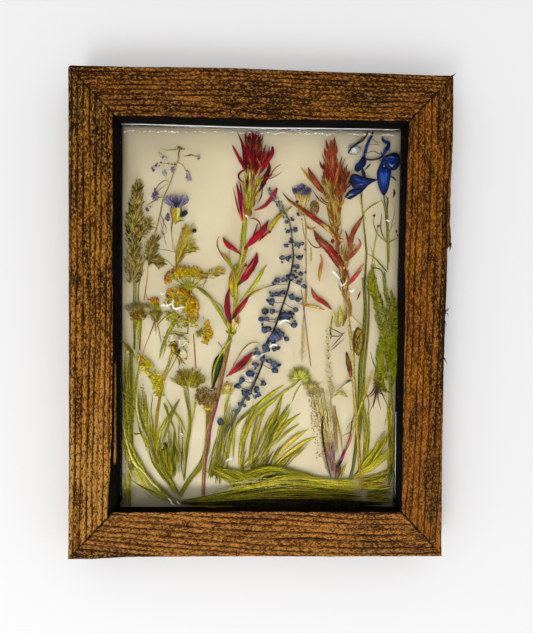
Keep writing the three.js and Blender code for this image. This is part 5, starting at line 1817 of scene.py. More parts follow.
LARKSPUR_SPURS = [
    ("368,131.6 366.2,135.6 363,139.6 356.4,144 351,148.6 348.2,153", (0.8, 1.8, 2.2, 1.4, 1.8, 0.8),
     "ink moss ink navy navy", 3.0),
    ("373,131.6 371.6,136 368.7,141.4 366.6,147 365.4,152 364,157", (0.8, 1.7, 2.0, 2.2, 2.4, 1.4),
     "navy blue navy", 3.0),
    ("382.2,136.6 382.6,139.6 385,142 388.4,143 388,147 385.4,150.6 384,154",
     (1.0, 2.6, 3.0, 3.0, 3.2, 2.6, 1.2), "navy blue navy blue", 3.1),
    ("368,152.7 371,151.4 374.6,151.4 380,154.6", (0.4, 0.6, 0.7, 0.5), "navy slate navy", 3.0),
    ("366.6,159 370.4,160 374.6,159.6 379,158.4 382.4,156 384.4,152.4", (1.0, 1.6, 1.2, 1.3, 1.8, 0.8),
     "navy ink navy", 2.9),
    ("381,152.6 384,156.4 386.6,160", (0.8, 1.8, 1.0), "blue navy", 3.2),
    ("365.4,169.4 367.6,167 370.6,164", (0.5, 1.5, 0.4), "navy blue", 3.0),
    ("362,167 363,172 365.4,178", (1.0, 3.0, 1.6), "navy ink navy", 2.8),
    ("369,144.6 374,144.2 379,145.4", (0.3, 0.5, 0.3), "umber root", 2.6),
    ("371.6,139 376,141.4 379.4,145.4", (0.3, 0.5, 0.3), "umber tan", 2.6),
    ("390.6,176.4 393.4,177.6 396,181", (0.8, 1.6, 0.4), "blue navy", 3.0),
    ("347.4,197 350,195 353.4,194", (0.4, 2.0, 0.5), "cream ash haze", 3.7),
    ("386.6,158 391,156.6 396,158.4", (0.3, 1.2, 0.4), "sky steel blue", 4.1),
    ("388.6,163 392,166 394.4,164", (0.4, 1.8, 0.5), "steel ice sky", 4.1),
    ("381,172 382,181 383.6,190", (0.3, 1.1, 0.4), "sky steel blue", 4.2),
    ("386.4,170 386.6,178 385.4,187", (0.3, 0.9, 0.3), "steel sky blue", 4.2),
    ("354,178.4 361,180.4 369,180.6", (0.3, 1.0, 0.3), "sky blue", 4.1),
    ("356,184.6 362,184.4 367,182.6", (0.3, 0.8, 0.3), "steel sky blue", 4.1),
    ("394,189.4 394.4,193 393.4,197", (0.8, 2.0, 0.8), "maroon bark plum", 2.8),
    ("385.6,196 388,200 387.6,206", (0.5, 1.0, 0.6), "umber bark umber", 2.6),
]
LARKSPUR_STEMS = [
    ("362.3,189 361.6,199.6 363.6,222 365.5,241 366.5,253 365.5,270 364.2,290", (0.9, 1.1, 1.3, 1.5, 1.7),
     "moss khaki leaf olive moss", 1.8, 0.9),
    ("360.4,192 361,204 366,220", (0.6, 0.9, 0.4), "khaki straw khaki", 2.0),
    ("381,199 384,206 386,218.7 387.2,234.6 387.8,270",
     (0.5, 0.9, 1.0, 1.0, 0.9), "khaki umber khaki leaf", 1.9, 0.8),
    ("388,198 387.2,206 387.4,216 388.4,234 389,262", (0.9, 1.2, 1.2, 1.0, 0.8), "umber khaki lime khaki",
     1.9),
    ("384,193 384.4,200 386.6,212", (0.8, 1.0, 0.6), "khaki moss khaki", 2.0),
    ("374.4,216 373.8,223.8 377.6,234 386,242", (0.3, 0.7, 0.7, 0.5), "tan khaki lime", 1.8),
    ("381.5,214 380.8,228 383,236 387.4,243", (0.4, 0.9, 0.8, 0.5), "khaki umber lime", 1.8),
    ("378.3,226 375.6,240 373.6,254 371.3,267", (0.4, 0.7, 0.7, 0.3), "tan lime khaki", 1.6),
    ("388.4,243 392,240.6 397,238", (0.7, 0.8, 0.4), "khaki moss umber", 1.8),
    ("389,232 392.4,226 396,222", (0.4, 0.6, 0.3), "tan khaki", 1.6),
    ("370.6,246 373,256 375.4,268", (0.3, 0.6, 0.5), "khaki lime", 1.4),
    ("393,203 394.6,212 392,222 390,232", (0.3, 0.6, 0.6, 0.3), "lime khaki tan", 1.2),
]


def grow_blue_larkspur():
    """Deep blue larkspur flowers on thin khaki stems."""
    sprig = Sprig(307)
    strokes(sprig, LARKSPUR_STEMS, thick=0.5)
    for outline, names, height in LARKSPUR_PETALS:
        sprig.petal(outline, names, height=height, thick=0.6, dome=0.7, crease=0.4)
    strokes(sprig, LARKSPUR_SPURS, thick=0.8, ragged=0.1)
    florets(sprig, "396.4,231.5 397.7,235.3 374.2,215.6 372.6,268 378.4,226", (1.5, 1.9, 1.0), "bark umber",
            2.0)
    florets(sprig, "384,166 380.6,160.4 366,154.4 389.4,150", (1.3, 1.6, 0.8), "ice steel", 4.1, lumps=0.4)
    return sprig.finish("blue_larkspur", 0.45, (0.06, 0.12, 0.26), rich=1.06)


def feather(sprig, axis, count, reach, width, names, height=(1.0, 3.0), spread_angle=55, both=True):
    """A fern-like frond: fine curved leaflets along both sides of a midrib."""
    line = smooth_path(xy(axis), 1.0)
    way = np.gradient(line, axis=0)
    way /= np.linalg.norm(way, axis=1)[:, None]
    for k in range(count):
        share = k / count
        spot_at = int(share * (len(line) - 1))
        hand = 1 if (k % 2 or not both) else -1
        turn = math.radians(spread_angle) * hand + sprig.random.normal() * 0.2
        c, s = math.cos(turn), math.sin(turn)
        aim = np.array([way[spot_at, 0] * c - way[spot_at, 1] * s, way[spot_at, 0] * s + way[spot_at, 1] * c])
        far = reach * (1 - 0.7 * share ** 2) * sprig.random.uniform(0.6, 1.15) * min(1, 0.35 + share * 3)
        route = [line[spot_at], line[spot_at] + aim * far * 0.5,
                 line[spot_at] + aim * far + way[spot_at] * far * 0.35]
        tone = sprig.picks(names, 2)
        z = sprig.random.uniform(*height)
        sprig.blade(route, (width * 0.7, width, 0.1), tone, z, 0.35, sides=5, step=far / 4)


FROND_AXES = [
    "388,372 389.6,352 390,336 386,318 380,300 375,282 372,264",
    "390,370 392.6,348 392,326 389,306 385,288 384,272",
    "389,366 386,346 382.4,330 378,314 374.6,300 372.4,288",
    "391,364 394.4,344 396,322 394,304 391,290",
    "387,380 382,368 380,352 380.6,338",
    "390,390 393.6,372 395.4,356 396,342",
    "386,392 381,384 379,374 380,366",
    "377,300 372,290 370.6,280 371.6,271",
]


def grow_feathery_frond():
    """A dense olive frond with fine leaflets, arching over at its top."""
    sprig = Sprig(311)
    for k, axis in enumerate(FROND_AXES):
        feather(sprig, axis, 90, 7.0, 0.8, "leaf moss khaki olive dark lime", (0.6, 2.0), 44)
        feather(sprig, axis, 90, 4.6, 0.85, "lime pale_lime khaki lime leaf lime moss",
                (1.8 + 0.3 * k % 1.4, 3.8), 66)
        sprig.blade(axis, (1.1, 0.9, 0.6, 0.3), "leaf moss khaki", 2.2, 0.6)
    strokes(sprig, [
        ("366.6,253.6 371,255.6 375.7,259 380.8,265 387,272", (0.4, 0.9, 1.1, 1.1, 0.6),
         "lime khaki leaf moss", 2.4),
        ("370,271 372.6,268.8 375.7,268 379.4,269 382,271.6 382.4,274 380.6,276.6", (0.4, 0.8, 0.9, 0.9, 0.6),
         "khaki moss lime", 2.8),
    ])
    return sprig.finish("feathery_frond")


def grow_green_stems():
    """Thick green stems, dark wiry roots and a pink stem at the right."""
    sprig = Sprig(313)
    bundle(sprig, "363,278 365,303.6 364.4,324.6 362.5,349 360.6,363 360,379 359.3,405.7 356.6,441 "
           "353,468 350,479", 3, 2.2, 1.25, "leaf moss green moss khaki leaf", 2.2, 1.3, 0.3)
    bundle(sprig, "368.6,278 369,304 368.4,326 366.4,350 364.6,366 364,380 362.6,406 360,440", 2, 1.0, 1.2,
           "leaf moss khaki moss", 2.4, 1.2, 0.3)
    bundle(sprig, "372,370 369,381 365.7,392 358.6,413 352,432 348,442", 3, 2.0, 0.8,
           "cream straw khaki straw cream", 2.6, 0.8)
    bundle(sprig, "354.6,426 351.4,434 347.6,445 345.6,450", 3, 2.2, 0.95, "cream pink cream salmon straw",
           2.9, 0.8)
    bundle(sprig, "346.6,447 343.6,454 340.6,462", 3, 2.2, 0.95, "grape rose maroon grape", 3.0, 0.8)
    bundle(sprig, "341.6,459 338.6,465 335.6,472", 3, 2.0, 0.9, "root maroon ink", 3.1, 0.8)
    bundle(sprig, "356,412 352.4,420 350,436 343,455", 1, 0.4, 0.8, "ink bark", 3.3, 0.6)
    bundle(sprig, "353,380 355.6,410 358.4,446 361,491", 2, 1.2, 0.8, "cream straw cream tan", 4.1, 0.6, 0.2)
    for tip in ("369.3,413", "373,408", "381,410", "388,406.6", "363,398.6", "367.5,397.7", "394,396",
                "385,396", "377,400"):
        way = xy(tip)[0]
        middle = (way + (378, 385)) / 2 + sprig.random.normal(0, 1.6, 2)
        route = [(378 + sprig.random.normal() * 1.4, 383), middle, way]
        sprig.blade(route, (1.3, 0.9, 0.25), "bark root umber bark", 2.8, 0.6)
    radiating(sprig, xy("378,382")[0], 14, 20, 330, 5.0, 0.8, "bark umber moss root", 3.0, 0.5)
    strokes(sprig, [
        ("377,386 376,378 376.6,368", (2.0, 2.6, 1.2), "umber khaki leaf", 2.6, 1.0),
        ("356.8,421 352.6,421.6 349.6,423.6 346,429.4", (0.5, 0.6, 0.6, 0.3), "tan lime tan", 2.4),
        ("341.6,437 345,434.4 349.6,432.5 355,424.5", (0.3, 0.7, 0.7, 0.4), "khaki tan lime", 2.4),
        ("347,463 344,468 341,477", (0.6, 2.2, 1.0), "pale_lime lime khaki", 2.6),
        ("366,392 369,404 367,416", (0.4, 0.8, 0.3), "umber bark", 2.6),
        ("370.4,352 373,362 378,372", (0.4, 0.8, 0.6), "khaki leaf moss", 1.8),
    ])
    return sprig.finish("green_stems")


def grow_pale_centre_right():
    """Pale dotted spikes, a soft yellow head and thin leaves at the foot of the right-hand plants."""
    sprig = Sprig(317)
    fuzz_head(sprig, (300, 377), -30, 210, 620, 9.0, "lime pale_lime lime straw lime", 2.0, 3.4)
    radiating(sprig, xy("300,378")[0], 60, -30, 215, 6.2, 0.75, "lime pale_lime lime", 3.0, 0.4, 0.35)
    radiating(sprig, xy("301,379")[0], 26, -40, 200, 4.6, 0.8, "leaf khaki lime", 2.2, 0.4, 0.35)
    fuzz_head(sprig, (309, 388), -40, 120, 300, 7.5, "straw tan pale_lime straw cream", 1.8, 5.0)
    fuzz_head(sprig, (316, 396), 20, 160, 160, 7.5, "straw cream tan", 1.6, 6.0)
    dotted = "305.7,383 313.8,391 315.5,404 320,417 323.6,431 323.6,448.6 327,468 331.6,476"
    bundle(sprig, dotted, 3, 2.2, 0.9, "straw cream tan pale_lime", 1.8, 0.7)
    for k in range(11):
        spot = smooth_path(xy(dotted), 1)[8 + k * 8]
        sprig.blob(spot + sprig.random.normal(0, 0.8, 2), (1.7, 2.0, 1.2), "straw tan", 2.8, lumps=0.5)
    for axis, reach, count in (("331,397 330.4,380 328.6,362 327.6,344 326.6,327", 5.0, 44),
                               ("333,398 332,388 330.6,376", 4.4, 22)):
        feather(sprig, axis, count, reach, 0.85, "pale_lime cream straw pale_lime cream", (1.2, 3.0), 62)
    for _ in range(110):
        share = sprig.random.uniform(0, 1)
        spot = (307 + 22 * share * sprig.random.uniform(0.2, 1) + 4 * share, 384 + 76 * share)
        tone = sprig.pick("straw tan khaki cream tan") + " tan"
        sprig.blob(spot, (1.0, 1.2, 0.8), tone, 2.9, lumps=0.4)
    florets(sprig, "327.7,344 328.4,351 328.4,358 329.6,367 326.6,337", (1.1, 1.3, 0.9), "ink umber", 3.4)
    feather(sprig, "302,362 302.6,346 303,330 303.4,316", 40, 3.4, 0.5, "straw tan khaki", (0.6, 1.4), 55)
    bundle(sprig, "334,406 335,424 336,440 337,452", 3, 2.4, 0.7, "salmon pink straw tan", 1.4, 0.5)
    between(sprig, "311,386 316,410 322,440 330,476", "330,386 332,410 334,440 337,478", 46, 0.9,
            "cream straw tan cream straw pale_lime tan cream", (0.8, 3.0), 0.3)
    between(sprig, "324,440 327,456 333,478", "333,439 335,458 338,476", 13, 1.1,
            "mauve lilac grape plum tan clay", (2.4, 4.0), 0.4)
    bundle(sprig, "323,416 322,430 324,446 327,462 331,477", 2, 0.8, 0.7, "root plum ink bark", 3.4, 0.6)
    between(sprig, "333,462 335,472 334,482", "341,462 341,470 338,480", 8, 0.9, "bark umber root umber",
            (2.0, 3.6), 0.6)
    strokes(sprig, [
        ("334.4,396 338,393.6 342.6,393.6 347.4,397", (0.5, 2.4, 2.6, 0.6), "lime pale_lime khaki", 2.6),
        ("336,391.4 340,388 347,382.6", (0.4, 0.8, 0.5), "umber tan", 2.6),
        ("345.6,383.4 348.6,381 352,380", (0.5, 2.2, 0.5), "deep_green green moss", 3.0),
        ("335,407 337,420 340.5,434 342.3,451", (0.4, 1.4, 1.4, 0.5), "leaf lime khaki", 2.2),
        ("299.5,380 293,386 285,391 276.6,398 270,404", (0.8, 1.5, 1.6, 1.2, 0.5), "khaki lime straw khaki",
         2.2),
        ("301,384 296,392 292,402", (0.6, 1.2, 0.4), "lime straw khaki", 1.8),
        ("314,392 318,386 323,381", (0.4, 0.8, 0.3), "tan straw", 1.4),
        ("321,420 317,412 311,406", (0.4, 0.7, 0.3), "tan straw", 1.4),
        ("324,436 329,428 333,424", (0.4, 0.7, 0.3), "tan umber", 1.4),
    ])
    return sprig.finish("pale_dotted_spikes", rich=1.05)


# ---------------------------------------------------------------- foot of the frame
CENTRE_BLADES = [
    ("283.8,385 274,392 263,401 253,409.6 243.6,418", 4.4),
    ("290,388 279,396 268.6,404 259,412 252,420 245,438 238,464", 4.6),
    ("284.4,390 280,402 275.7,416 271,428 266,440 260,452 254,465", 5.2),
    ("264,411 258,428 252.5,450 250,476", 4.6),
    ("300.4,413 290,421 282,428.6 275,437 268,446 261,457", 4.8),
    ("308.4,429 297,436.6 286,446 279,454 272.7,465", 4.8),
    ("317.8,436 307,440.6 296.8,447 286,455 275.4,465", 4.6), ("229.3,393 226.4,404 224,417", 2.8),
    ("234.6,425 233.6,440 233,460", 2.8), ("268,402 261,418 256,430", 3.4),
    ("247,418 243,434 240,452 239,470", 3.6), ("280,436 270,446 262,458 256,470", 3.6),
    ("256.6,404 249,412 240,420 232,432", 3.0), ("299,424 286,433 275,445", 2.8),
    ("222,428 223,444 226,462 230,478", 2.6), ("262,452 250,464 238,474", 3.4),
    ("292,452 278,462 266,474", 3.2),
]


def grow_centre_blades():
    """Broad olive-yellow blades with darker edges behind the flowers."""
    sprig = Sprig(401)
    for route, wide in CENTRE_BLADES:
        tone = sprig.picks("khaki lime straw khaki lime olive", 3)
        z = sprig.random.uniform(0.6, 2.6)
        sprig.blade(route, (0.3, wide * 0.62, wide * 0.74, wide * 0.5, 0.2), tone, (z, z + 0.5), 0.5, "moss",
                    sides=10, line="khaki" if sprig.random.random() < 0.6 else "straw")
    between(sprig, "246,400 240,430 236,470", "300,404 276,436 262,474", 16, 1.5,
            "khaki leaf straw lime olive", (0.4, 2.4))
    between(sprig, "246,446 240,462 232,484", "312,442 292,460 272,482", 18, 1.8,
            "khaki leaf gold lime olive moss", (0.6, 3.0))
    return sprig.finish("centre_blades", rich=1.18)


SHEAF_STEP = 8.0        # the stems are nearly straight, so long steps will do
# Each layer: two guide routes, how many stems, their width, tints and heights, how short the shortest is
# beside the guides, and for some the thickness and scatter.
SHEAF_LAYERS = [
    ("174,503 226,508 280,508 340,507 368,503", "190,499 222,493 262,485 300,476 330,481 362,488", 230,
     1.1, "olive khaki moss leaf dark khaki gold straw moss", (0.5, 3.4), 0.22),
    ("184,500 230,495 286,486 350,490", "210,497 246,490 280,475 306,477 356,486", 130, 1.15,
     "khaki straw lime gold olive leaf moss straw", (1.6, 4.0), 0.2),
    ("226,490 250,482 272,472 300,476 340,485", "232,478 250,470 268,465 296,471 330,482", 64, 1.1,
     "khaki straw olive lime moss leaf", (1.2, 3.6), 0.2),
    ("204,470 225,480 245,494", "214,465 240,472 262,486", 36, 1.1, "khaki leaf lime olive straw",
     (2.0, 3.8), 0.4),
    # Ink and dark strands: painted shade in the gaps between the pale stems.
    ("210,505 280,498 340,494", "230,490 280,475 330,482", 90, 0.8, "ink dark moss root", (1.8, 4.1),
     0.12),
    ("196,500 240,492 300,490", "226,484 260,476 300,480", 26, 0.6, "straw pale_lime cream", (3.6, 4.3),
     0.12),
    ("300,484 330,487 366,494", "296,478 330,480 366,480", 44, 1.0, "khaki straw lime pale_lime",
     (2.4, 4.2), 0.3),
    # More ink and dark strands: painted shade in the gaps between the pale stems.
    ("176,504 240,506 320,506 366,504", "206,499 240,491 290,480 350,488", 130, 0.75,
     "ink dark root moss ink", (2.6, 4.2), 0.1, 0.4, 2.6),
    ("180,502 240,500 300,498 366,498", "208,498 240,489 290,475 350,485", 120, 0.65,
     "straw khaki pale_lime lime straw", (3.2, 4.3), 0.1, 0.4, 2.6),
    # Dark strands along the bottom wall: painted shade at the foot of the frame.
    ("200,512 260,512 330,512 396,512", "220,503 260,501 330,501 396,502", 90, 1.4,
     "ink dark root deep_green ink", (2.6, 4.2), 0.2),
]


def grow_bottom_sheaf():
    """Long olive stems laid across the foot of the frame, with dark strands as painted shade between them and
    along the bottom wall.
    """
    sprig = Sprig(409)
    for layer in SHEAF_LAYERS:
        between(sprig, *layer, step=SHEAF_STEP)
    return sprig.finish("bottom_sheaf")


def grow_right_grasses():
    """Short straw and olive grasses in the lower right corner."""
    sprig = Sprig(419)
    pale = "straw lime pale_lime khaki cream straw"
    between(sprig, "351,479 362,470 374,461 390,447", "353,481 366,474 378,466 393,454", 22, 1.1, pale,
            (1.6, 3.8), 0.7)
    between(sprig, "353,478 362,464 373,450 384,431", "356,480 368,468 380,452 391,430", 34, 1.1,
            "khaki lime straw leaf gold khaki", (0.8, 3.4), 0.4)
    between(sprig, "363,404 364,424 364,446 362,468", "371,404 370,428 369,448 367,470", 18, 1.1,
            "straw khaki straw leaf lime", (0.8, 2.8), 0.5)
    between(sprig, "384,427 387,410 390,390", "392,430 393,412 393,386", 9, 0.9, "khaki straw leaf straw",
            (0.8, 3.0), 0.6)
    between(sprig, "384,490 387,470 388,440 386,404", "392,490 393,466 394,440 392,402", 20, 0.9,
            "khaki straw leaf lime olive gold", (0.8, 3.4), 0.35)
    between(sprig, "356,488 368,490 380,492 392,492", "362,478 374,476 384,472 393,464", 44, 1.1,
            "khaki straw lime leaf olive gold", (1.0, 3.6), 0.4)
    between(sprig, "364,500 376,500 392,500", "364,490 378,488 393,486", 30, 1.1, "khaki straw olive moss",
            (0.8, 3.0), 0.4)
    strokes(sprig, [
        ("369,485 376,481 386.6,477.6", (0.4, 1.4, 0.4), "straw pale_lime straw", 3.4),
        ("391.4,464 390.6,474 388.6,486", (0.8, 3.0, 0.8), "deep_green green moss", 3.4),
        ("396,391 391,392.6 386,397", (0.4, 1.6, 0.4), "khaki lime", 2.4),
    ])
    return sprig.finish("right_grasses")


def grow_yellow_tuft_heads():
    """The two low soft heads left of the crimson stem, with their stems and crossing blades."""
    sprig = Sprig(421)
    fuzz_head(sprig, (189, 384), 8, 172, 620, 11.4, "khaki straw lime straw gold", 2.4, 9.0)
    sprig.head("188.6,387 189,381 190,373", (9, 14, 12), 150, 4.6, 0.7, "khaki tan lime straw gold moss",
               (1.8, 3.8), 55)
    sprig.head("188,389 188,386 188,383", (3, 9, 13), 50, 3.4, 0.7, "gold lime khaki moss", (2.0, 3.6), 62)
    florets(sprig, "178,382 183,379 189,381 194,378.6 200,380.4 204.6,379 186,385 192.6,385.4 198,384",
            (1.1, 1.4, 0.9), "ink moss", 3.9)
    dome_florets(sprig, "196.6,389 206,387 217,388 219,395 216,404 207,407 199,405 196,398", 190, 1.15,
                 "umber tan plum bark tan khaki umber", 2.9)
    fuzz_head(sprig, (206, 401), 15, 165, 240, 8.6, "bark tan umber straw", 3.2, 7.0)
    dome_florets(sprig, "197,389 217,388 219,395 200,397", 40, 0.8, "cream tan straw", 3.9)
    radiating(sprig, xy("207.6,411")[0], 16, 35, 150, 5.0, 0.9, "lime gold khaki", 3.2, 0.4)
    bundle(sprig, "186.6,389 188.8,407.5 189.6,428 186,450 184.3,478", 3, 2.4, 1.0, "leaf khaki lime olive",
           2.2, 0.9)
    bundle(sprig, "196.8,388 195,405.7 190.5,426", 2, 1.0, 0.9, "pale_lime straw lime", 2.6, 0.6)
    bundle(sprig, "207.6,408 208.4,423.6 206.6,450 200.4,466 191,478 180,495", 5, 4.0, 1.05,
           "khaki lime leaf olive moss", 1.8, 0.9)
    strokes(sprig, [
        ("164.6,403 166.6,408 168.4,414", (0.4, 1.8, 0.5), "khaki lime", 2.4),
        ("179.8,398.6 175,406 170,414.6 164.6,423 160,432.5 158,448 158.4,465",
         (0.3, 1.8, 2.4, 2.4, 2.4, 2.0, 0.5), "khaki leaf lime khaki olive", 2.4),
        ("166,398 172,408 180,420 186,432", (0.3, 1.6, 2.0, 0.5), "leaf khaki lime", 2.0),
        ("214.6,404 212,416 210.6,428", (0.4, 1.2, 0.4), "straw khaki", 1.8),
    ])
    between(sprig, "166,424 168,444 172,478", "184,420 184,446 184,480", 20, 1.05,
            "leaf khaki moss lime straw", (1.0, 3.4), 0.35)
    florets(sprig, "164.6,444 166.4,447 163.4,449.4", (1.9, 2.4, 1.2), "dark ink", 3.4, lumps=0.5)
    return sprig.finish("soft_round_heads", rich=1.12)


def grow_small_yellow_flowers():
    """Narrow yellow flower spikes low at the left."""
    sprig = Sprig(431)
    dome_florets(sprig, "141,358 145,356 150,361 154,368 158,377 162,384 160,397 155,396 152,384 147,374 "
                 "142,366", 130, 1.4, "yellow lime yellow pale_lime straw lime", 2.8)
    dome_florets(sprig, "156,375 162,373 165,384 163,397 157,396", 56, 1.35, "yellow gold lime yellow khaki",
                 3.2)
    sprig.blob((142.2, 358.2), (2.4, 3.2, 1.6), "orange rust", 3.4, lumps=0.5)
    bundle(sprig, "141.6,357 140,366 137.6,376 136,385 135.6,405.7 140.5,428 146,438 150.4,452", 2, 1.4, 1.0,
           "straw pale_lime khaki lime", 2.4, 0.8)
    bundle(sprig, "162,380 160,397 157,416 155.6,440 157,468", 3, 2.0, 0.9, "khaki lime leaf tan", 1.8, 0.8)
    return sprig.finish("small_yellow_flowers", rich=1.35)


def grow_edge_leaves():
    """Small pale leaf sprigs along the left edge."""
    sprig = Sprig(433)
    strokes(sprig, [
        ("121.4,340.6 126,344 131.5,351 135,358", (0.4, 2.2, 1.8, 0.6), "straw khaki leaf", 2.2),
        ("124.6,340.4 128.6,346.6 131.6,352", (0.3, 1.6, 0.6), "cream straw khaki", 2.6),
        ("122.6,347.6 126,350.6 130.4,355.4", (0.4, 1.8, 0.5), "straw khaki", 2.4),
        ("121.8,392 127,393.4 133.4,398", (0.4, 2.6, 0.6), "cream straw khaki", 2.6),
        ("124,400.4 128,401 133,404", (0.4, 2.0, 0.5), "straw khaki", 2.6),
        ("122.6,372 127,376 131.6,383", (0.4, 2.0, 0.5), "straw khaki leaf", 2.0),
        ("123,430 127,436 131,446", (0.4, 2.0, 0.5), "khaki lime", 2.0),
    ])
    for outline in ("136,357 137.6,352.4 140.6,355.6 140.4,361 137.4,364",
                    "137.6,369.6 140.4,364 145.4,363.4 146.4,367 141.6,371.4",
                    "124,352.6 127.6,349.6 130.4,351.4 127.6,354.6"):
        sprig.petal(outline, "pale_lime straw khaki", height=3.0, thick=0.4, dome=0.3, crease=0.3)
    strokes(sprig, [("136.6,363 138.6,356.4", (0.3, 0.6), "khaki moss", 3.6),
                    ("138.6,370.6 145.6,364.6", (0.3, 0.6), "khaki moss", 3.6)])
    return sprig.finish("edge_leaves", rich=1.1)


def grow_left_greenery():
    """Stems, leaves and small fronds that fill the lower left."""
    sprig = Sprig(439)
    tone = "leaf khaki straw olive lime khaki moss"
    between(sprig, "124.6,352 124.6,390 124,430 124,456", "132,350 133,392 134,436 136,456", 44, 0.95,
            tone + " pale_lime straw", (0.5, 3.4), 0.15, 0.5, 2.4)
    bundle(sprig, "131.4,350 131.6,390 131.2,430 132,470", 3, 2.2, 1.0, "dark moss olive leaf moss", 3.4, 0.5)
    strokes(sprig, [("122.2,392.2 127.4,394.6 134,399", (0.6, 3.4, 0.8), "khaki olive moss", 3.6),
                    ("124,400.2 128,404 134.4,409", (0.5, 3.0, 0.8), "khaki olive moss", 3.6),
                    ("126,420.4 130,421.6 134,421", (0.5, 2.0, 0.6), "khaki olive moss", 3.6),
                    ("131,432.6 136,434 141,433.4", (0.4, 1.6, 0.5), "khaki olive moss", 3.6),
                    ("121.8,341 126,345.4 132,353", (0.6, 2.6, 0.7), "khaki olive moss", 3.6)], edge="moss")
    between(sprig, "123,370 124,420 124,470", "128,370 129,420 130,470", 16, 0.7, "moss olive dark leaf",
            (1.6, 3.4), 0.2, 0.5, 2.6)
    between(sprig, "136,388 136,410 140,432 150,456", "152,390 152,412 154,434 159,456", 34, 0.8,
            "lime leaf khaki olive pale_lime khaki", (0.6, 2.8), 0.25, 0.4, 2.2)
    between(sprig, "121.8,421 126,440 133,459 148,480 172,500", "123.6,416 129,440 140,462 156,484 177,499",
            40, 1.15, "lime khaki leaf straw lime olive", (1.2, 3.8), 0.35)
    between(sprig, "148,440 152,462 166,482 178,498", "160,440 164,462 174,482 182,498", 30, 1.1,
            "khaki leaf straw olive lime moss", (0.8, 3.2), 0.3)
    between(sprig, "162,440 164,460 168,478", "178,440 178,460 178,478", 34, 1.2,
            "moss olive leaf lime khaki gold", (1.0, 3.4), 0.25, 0.5, 2.6)
    bundle(sprig, "129.6,462 129.4,484 129.6,506", 3, 2.2, 0.9, "lime leaf khaki", 2.6, 0.6)
    bundle(sprig, "124,474 124.6,490 125,506", 3, 3.4, 0.9, "khaki straw lime olive", 2.2, 0.6)
    bundle(sprig, "164,403 168,414 175,430", 2, 1.0, 1.0, "leaf khaki moss", 3.2, 0.6)
    bundle(sprig, "179,400 170,420 160,450", 2, 1.2, 1.1, "khaki lime leaf", 3.3, 0.6)
    bundle(sprig, "184,390 187,405 190,420 187,450 184,480", 2, 0.8, 0.9, "olive leaf moss khaki", 3.0, 0.6)
    bundle(sprig, "122,440 134,466 150,490 180,503", 5, 5.0, 0.9, "straw lime khaki leaf pale_lime", 3.0, 0.6)
    bundle(sprig, "136,390 137,410 142,430 147,438", 2, 1.0, 1.0, "cream pale_lime cream", 3.8, 0.6)
    feather(sprig, "147,450 145.6,424 144,400 142,384", 34, 5.4, 1.0, "straw pale_lime khaki lime",
            (1.8, 3.2), 62)
    feather(sprig, "133.6,470 129.6,450 127.6,430 126.4,408", 50, 5.0, 0.9, "khaki lime leaf straw",
            (2.0, 3.4), 45)
    feather(sprig, "172,478 168,462 164,446", 46, 6.0, 1.1, "leaf khaki lime olive moss", (1.6, 3.4), 50)
    strokes(sprig, [("131.6,480 143,487.4 155.7,492.4", (0.4, 1.0, 0.5), "dark ink moss", 3.8),
                    ("122,421 131.6,459 142.3,471 158,489 172,500", (0.4, 1.1, 1.1, 0.9, 0.4),
                     "straw cream pale_lime", 3.8),
                    ("123,455 132,476 150,498", (0.4, 1.0, 0.5), "straw pale_lime lime", 3.6)])
    return sprig.finish("left_greenery", rich=1.16)


# White lines are painted glints, the resin's highlights where it climbs the head wall and stands up round
# stems; the ink line under the head-wall glint is a painted dark edge where the black wall shows through, and
# the ice line by the right wall is a painted reflection.
GLINT_LINES = [
    ("121.6,123.6 160,124.6 200,126 257,127.7 290,128.1 345,128.6 400.5,129.2", 1.05, "glint glint", 5.6),
    ("122,125 160,125.8 200,127.3 257,129 290,129.4 345,129.9 400,130.5", 0.9, "ink ink", 5.0),
    ("395.9,412 395.6,440 395.5,470 395.2,500", 0.75, "ice haze ice", 5.1),
    ("163.4,303.6 165,305.5 168.4,305.5 171,303.8", 0.9, "glint glint", 5.0),
    ("173.8,300 172.4,303 172.8,306.4 174.6,308.6 177.4,309 180,307.4 184.6,307.2", 0.95,
     "glint glint", 5.0),
    ("160.4,292.4 162.4,294.6 164,293", 1.0, "glint glint", 4.7),
    ("280,323.6 284,320.6 289,321", 1.2, "glint glint", 4.7),
    ("270,347 273,344.6 277,345.8", 1.2, "glint glint", 4.7),
    ("332.4,271.6 336,274.4 339.6,279", 1.15, "glint glint", 4.7),
    ("340,283 342.4,285.6 345.6,283", 1.0, "glint glint", 4.7),
    ("349,290 351.6,291.6 354,289", 0.6, "glint glint", 4.3),
    ("168,498.4 170.4,500.6 171.6,503.4 174,505", 1.0, "glint glint", 5.1),
    ("177,501.4 179.6,504.4", 0.8, "glint glint", 5.1),
    ("226,461.4 228.6,459.4 232.6,459", 1.2, "glint glint", 4.7),
    ("386.6,220 389.6,221.6", 1.0, "glint glint", 4.7),
    ("244.6,372 246,376.6 250,378.4 254,377 255.6,373", 1.0, "glint ice", 4.7),
    ("253,358 255.4,355.6 258,355.4", 1.0, "glint ice", 4.7),
    ("261,355.8 263.6,353.6 266.4,353.8", 1.0, "glint ice", 4.7),
    ("180.6,433.4 182.8,434.8", 1.0, "glint glint", 4.7),
    ("245.2,215.2 248.2,217.4", 1.0, "glint ice", 4.7),
    ("379.6,274.8 382.2,277.2", 0.6, "glint ice", 4.3),
]


# A row of painted glint dots just under the head wall, in these reaches along it.
GLINT_DOTS = 240
GLINT_DOT_REACHES = ((124, 180), (184, 345), (262, 330), (345, 397))      # along the head wall


